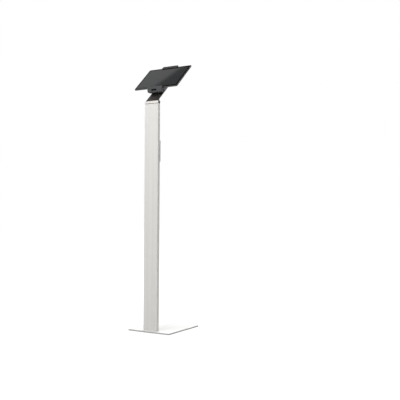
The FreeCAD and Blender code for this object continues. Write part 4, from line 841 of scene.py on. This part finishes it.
class STAND_OT_tablet(bpy.types.Operator):
    """Finish the tablet's back and keys, and make its glass and front camera"""

    bl_idname = "stand.tablet"
    bl_label = "Tablet"

    def execute(self, context):
        sizes = context.scene.stand_sizes
        dress("tablet_shell", "tablet_power_key", "tablet_volume_key")
        low, high = head_box("tablet_glass")
        glass = bmesh.new()
        block(glass, low, high)
        bevel(glass, lambda edge: runs_along(edge, 2), sizes.glass_corner, segments=8)
        bevel(glass, lambda edge: lies_at(edge, 2, high.z), sizes.glass_edge, segments=3)
        finish_piece("screen_glass", glass, "glass_dark", "head", ("tablet_glass",), HEAD)
        radius = sizes.camera_radius
        lens = bmesh.new()
        outline = [(0, 0), (radius, 0), (radius, sizes.camera_rim), (0, sizes.camera_crown)]
        turned_solid(lens, outline, steps=32)
        spot = HEAD @ Matrix.Translation((low.x + sizes.display_border / 2, 0, high.z))
        finish_piece("front_camera", lens, "lens", "head", matrix=spot)
        return {"FINISHED"}


class STAND_OT_cable_box(bpy.types.Operator):
    """Finish the cable box, its back, nuts and screws"""

    bl_idname = "stand.cable_box"
    bl_label = "Cable box"

    def execute(self, context):
        dress("box_cover", "box_carriage", "slot_nuts", "box_screws")
        return {"FINISHED"}


# Stage, in metres and degrees

COLUMN_POINT = (0, -0.1, 0.85)
LAMPS = {
    "front": {"size": 2.7, "place": (-0.45, -2.0, 2.2), "target": COLUMN_POINT},
    "rear": {"size": 2.0, "place": (0, 2.2, 2.1), "target": COLUMN_POINT},
    "top": {"size": 2.0, "place": (0.2, 0.2, 3.4), "target": (0.2, 0.2, 0)},
}
CAMERA_PLACE = (1.7301, -2.4970, 0.5559)
CAMERA_YAW = 30.17
CAMERA_PITCH = 1.70
CAMERA_ROLL = 0.194
CAMERA_SHIFT = (-0.0393, -0.0223)
FLOOR_REACH = 12
FLOOR_TONE = 0.65
SHADOWED_TONE = 0.3
SHADOWED_GLOW = 0.78
SHADOW_FADE = (0.5, 2.5)
CEILING_HEIGHT = 2.6
CEILING_REACH = 3
CEILING_LIT = 0.46
CEILING_UNLIT = 0.06
CEILING_LINE = (-0.983, 0.437, CEILING_HEIGHT)
CEILING_LINE_TURN = -62.1
CEILING_LINE_BLUR = 0.012


class STAND_OT_stage(bpy.types.Operator):
    """Make the floor, the sky, the ceiling, the lamps and the camera"""

    bl_idname = "stand.stage"
    bl_label = "Stage"

    def execute(self, context):
        settings = context.scene.stand_stage
        make_floor()
        make_sky(settings.sky)
        make_ceiling()
        for side, lamp in LAMPS.items():
            make_lamp(side + "_box", getattr(settings, side), **lamp)
        make_camera(settings.lens)
        context.scene.view_settings.view_transform = "Standard"
        return {"FINISHED"}


def seen_directly(recipe):
    """1 for camera, glossy and transmitted rays, and 0 for the rest."""
    camera = recipe.node("ShaderNodeLightPath", {}, {}, "Is Camera Ray")
    glossy = recipe.node("ShaderNodeLightPath", {}, {}, "Is Glossy Ray")
    through = recipe.node("ShaderNodeLightPath", {}, {}, "Is Transmission Ray")
    return (camera + glossy + through).clamped()


def stage_sheet(name, reach, height, skin):
    """Lay a level square over the origin that belongs to the stage."""
    shape = bmesh.new()
    bmesh.ops.create_grid(shape, x_segments=1, y_segments=1, size=reach)
    bmesh.ops.translate(shape, vec=(0, 0, height), verts=shape.verts)
    mesh_object(name, shape, skin)


def make_floor():
    """Pale floor, seen as white by the camera and in reflections, but for the shadow near the foot."""
    recipe = Recipe("pale_floor")
    plain = recipe.node("ShaderNodeBsdfDiffuse", {}, {"Color": grey(FLOOR_TONE)})
    shadowed = recipe.node("ShaderNodeBsdfDiffuse", {}, {"Color": grey(SHADOWED_TONE)})
    away = recipe.vector_maths("DISTANCE", recipe.place()).soft_step(*SHADOW_FADE)
    glow_tone = recipe.blend(away, grey(SHADOWED_GLOW), grey(1))
    glow = recipe.node("ShaderNodeEmission", {}, {"Color": glow_tone})
    seen = recipe.node("ShaderNodeAddShader", {}, {0: shadowed, 1: glow})
    shader = recipe.node("ShaderNodeMixShader", {}, {0: seen_directly(recipe), 1: plain, 2: seen})
    stage_sheet("floor", FLOOR_REACH, 0, recipe.finish(shader))


def make_sky(strength):
    """Even white light, seen as plain white by the camera and in reflections."""
    recipe = Recipe("studio", bpy.data.worlds)
    tone = recipe.blend(seen_directly(recipe), grey(strength), grey(1))
    light = recipe.node("ShaderNodeBackground", {}, {"Color": tone})
    bpy.context.scene.world = recipe.finish(light, "ShaderNodeOutputWorld")


def make_ceiling():
    """Studio ceiling that only reflections see, dim grey and almost black beyond a slanting line."""
    recipe = Recipe("dim_ceiling")
    turn = (0, 0, math.radians(CEILING_LINE_TURN))
    across = recipe.part(recipe.turned(recipe.place(), origin=CEILING_LINE, rotation=turn), 0)
    beyond = across.soft_step(-CEILING_LINE_BLUR, CEILING_LINE_BLUR)
    tone = recipe.blend(beyond, grey(CEILING_LIT), grey(CEILING_UNLIT))
    glow = recipe.node("ShaderNodeEmission", {}, {"Color": tone})
    clear = recipe.node("ShaderNodeBsdfTransparent", {}, {})
    glossy = recipe.node("ShaderNodeLightPath", {}, {}, "Is Glossy Ray")
    shader = recipe.node("ShaderNodeMixShader", {}, {0: glossy, 1: clear, 2: glow})
    stage_sheet("ceiling", CEILING_REACH, CEILING_HEIGHT, recipe.finish(shader))


def place_object(name, data, matrix):
    """Put a lamp or camera in the scene and return its object."""
    holder = bpy.data.objects.new(name, data)
    holder.matrix_world = matrix
    bpy.context.scene.collection.objects.link(holder)
    return holder


def looking(place, direction):
    """Matrix of a lamp or camera at a place that looks in a direction."""
    return Matrix.Translation(place) @ direction.to_track_quat("-Z", "Y").to_matrix().to_4x4()


def make_lamp(name, power, size, place, target):
    """A square soft box that looks at its target."""
    lamp = bpy.data.lights.new(name, "AREA")
    lamp.energy = power
    lamp.size = size
    place_object(name, lamp, looking(place, Vector(target) - Vector(place)))


def make_camera(lens):
    """The photograph's viewpoint, 3 m from the stand and a little under half its height."""
    camera = bpy.data.cameras.new("camera")
    camera.lens = lens
    camera.sensor_width = 36
    camera.shift_x, camera.shift_y = CAMERA_SHIFT
    camera.clip_end = 100
    yaw, pitch, roll = (math.radians(value) for value in (CAMERA_YAW, CAMERA_PITCH, CAMERA_ROLL))
    ahead = Vector((-math.sin(yaw) * math.cos(pitch), math.cos(yaw) * math.cos(pitch), math.sin(pitch)))
    matrix = looking(CAMERA_PLACE, ahead) @ Matrix.Rotation(roll, 4, "Z")
    bpy.context.scene.camera = place_object("camera", camera, matrix)


# Add-on

class STAND_PT_panel(bpy.types.Panel):
    """Sizes, colours and pieces of the tablet floor stand"""

    bl_idname = "STAND_PT_panel"
    bl_label = "Tablet floor stand"
    bl_space_type = "VIEW_3D"
    bl_region_type = "UI"
    bl_category = "Stand"

    def draw(self, context):
        for name in GROUPS:
            group = getattr(context.scene, name)
            box = self.layout.box()
            for setting in group.__annotations__:
                box.prop(group, setting)
        for operator in OPERATORS:
            self.layout.operator(operator.bl_idname)


GROUPS = {"stand_sizes": StandSizes, "stand_colours": StandColours, "stand_stage": StandStage}
OPERATORS = [
    STAND_OT_stage, STAND_OT_base, STAND_OT_column, STAND_OT_neck, STAND_OT_pivot, STAND_OT_housing,
    STAND_OT_jaws, STAND_OT_slide, STAND_OT_lock, STAND_OT_tablet, STAND_OT_cable_box,
]
CLASSES = [*GROUPS.values(), *OPERATORS, STAND_PT_panel]


def register():
    """Add the classes and hang the groups of settings on the scene."""
    for entry in CLASSES:
        bpy.utils.register_class(entry)
    for name, group in GROUPS.items():
        setattr(bpy.types.Scene, name, PointerProperty(type=group))


def unregister():
    """Take away what register added."""
    for name in GROUPS:
        delattr(bpy.types.Scene, name)
    for entry in reversed(CLASSES):
        bpy.utils.unregister_class(entry)


def main():
    """Run every operator once."""
    register()
    for operator in OPERATORS:
        group, name = operator.bl_idname.split(".")
        getattr(getattr(bpy.ops, group), name)()


if __name__ == "__main__":
    main()
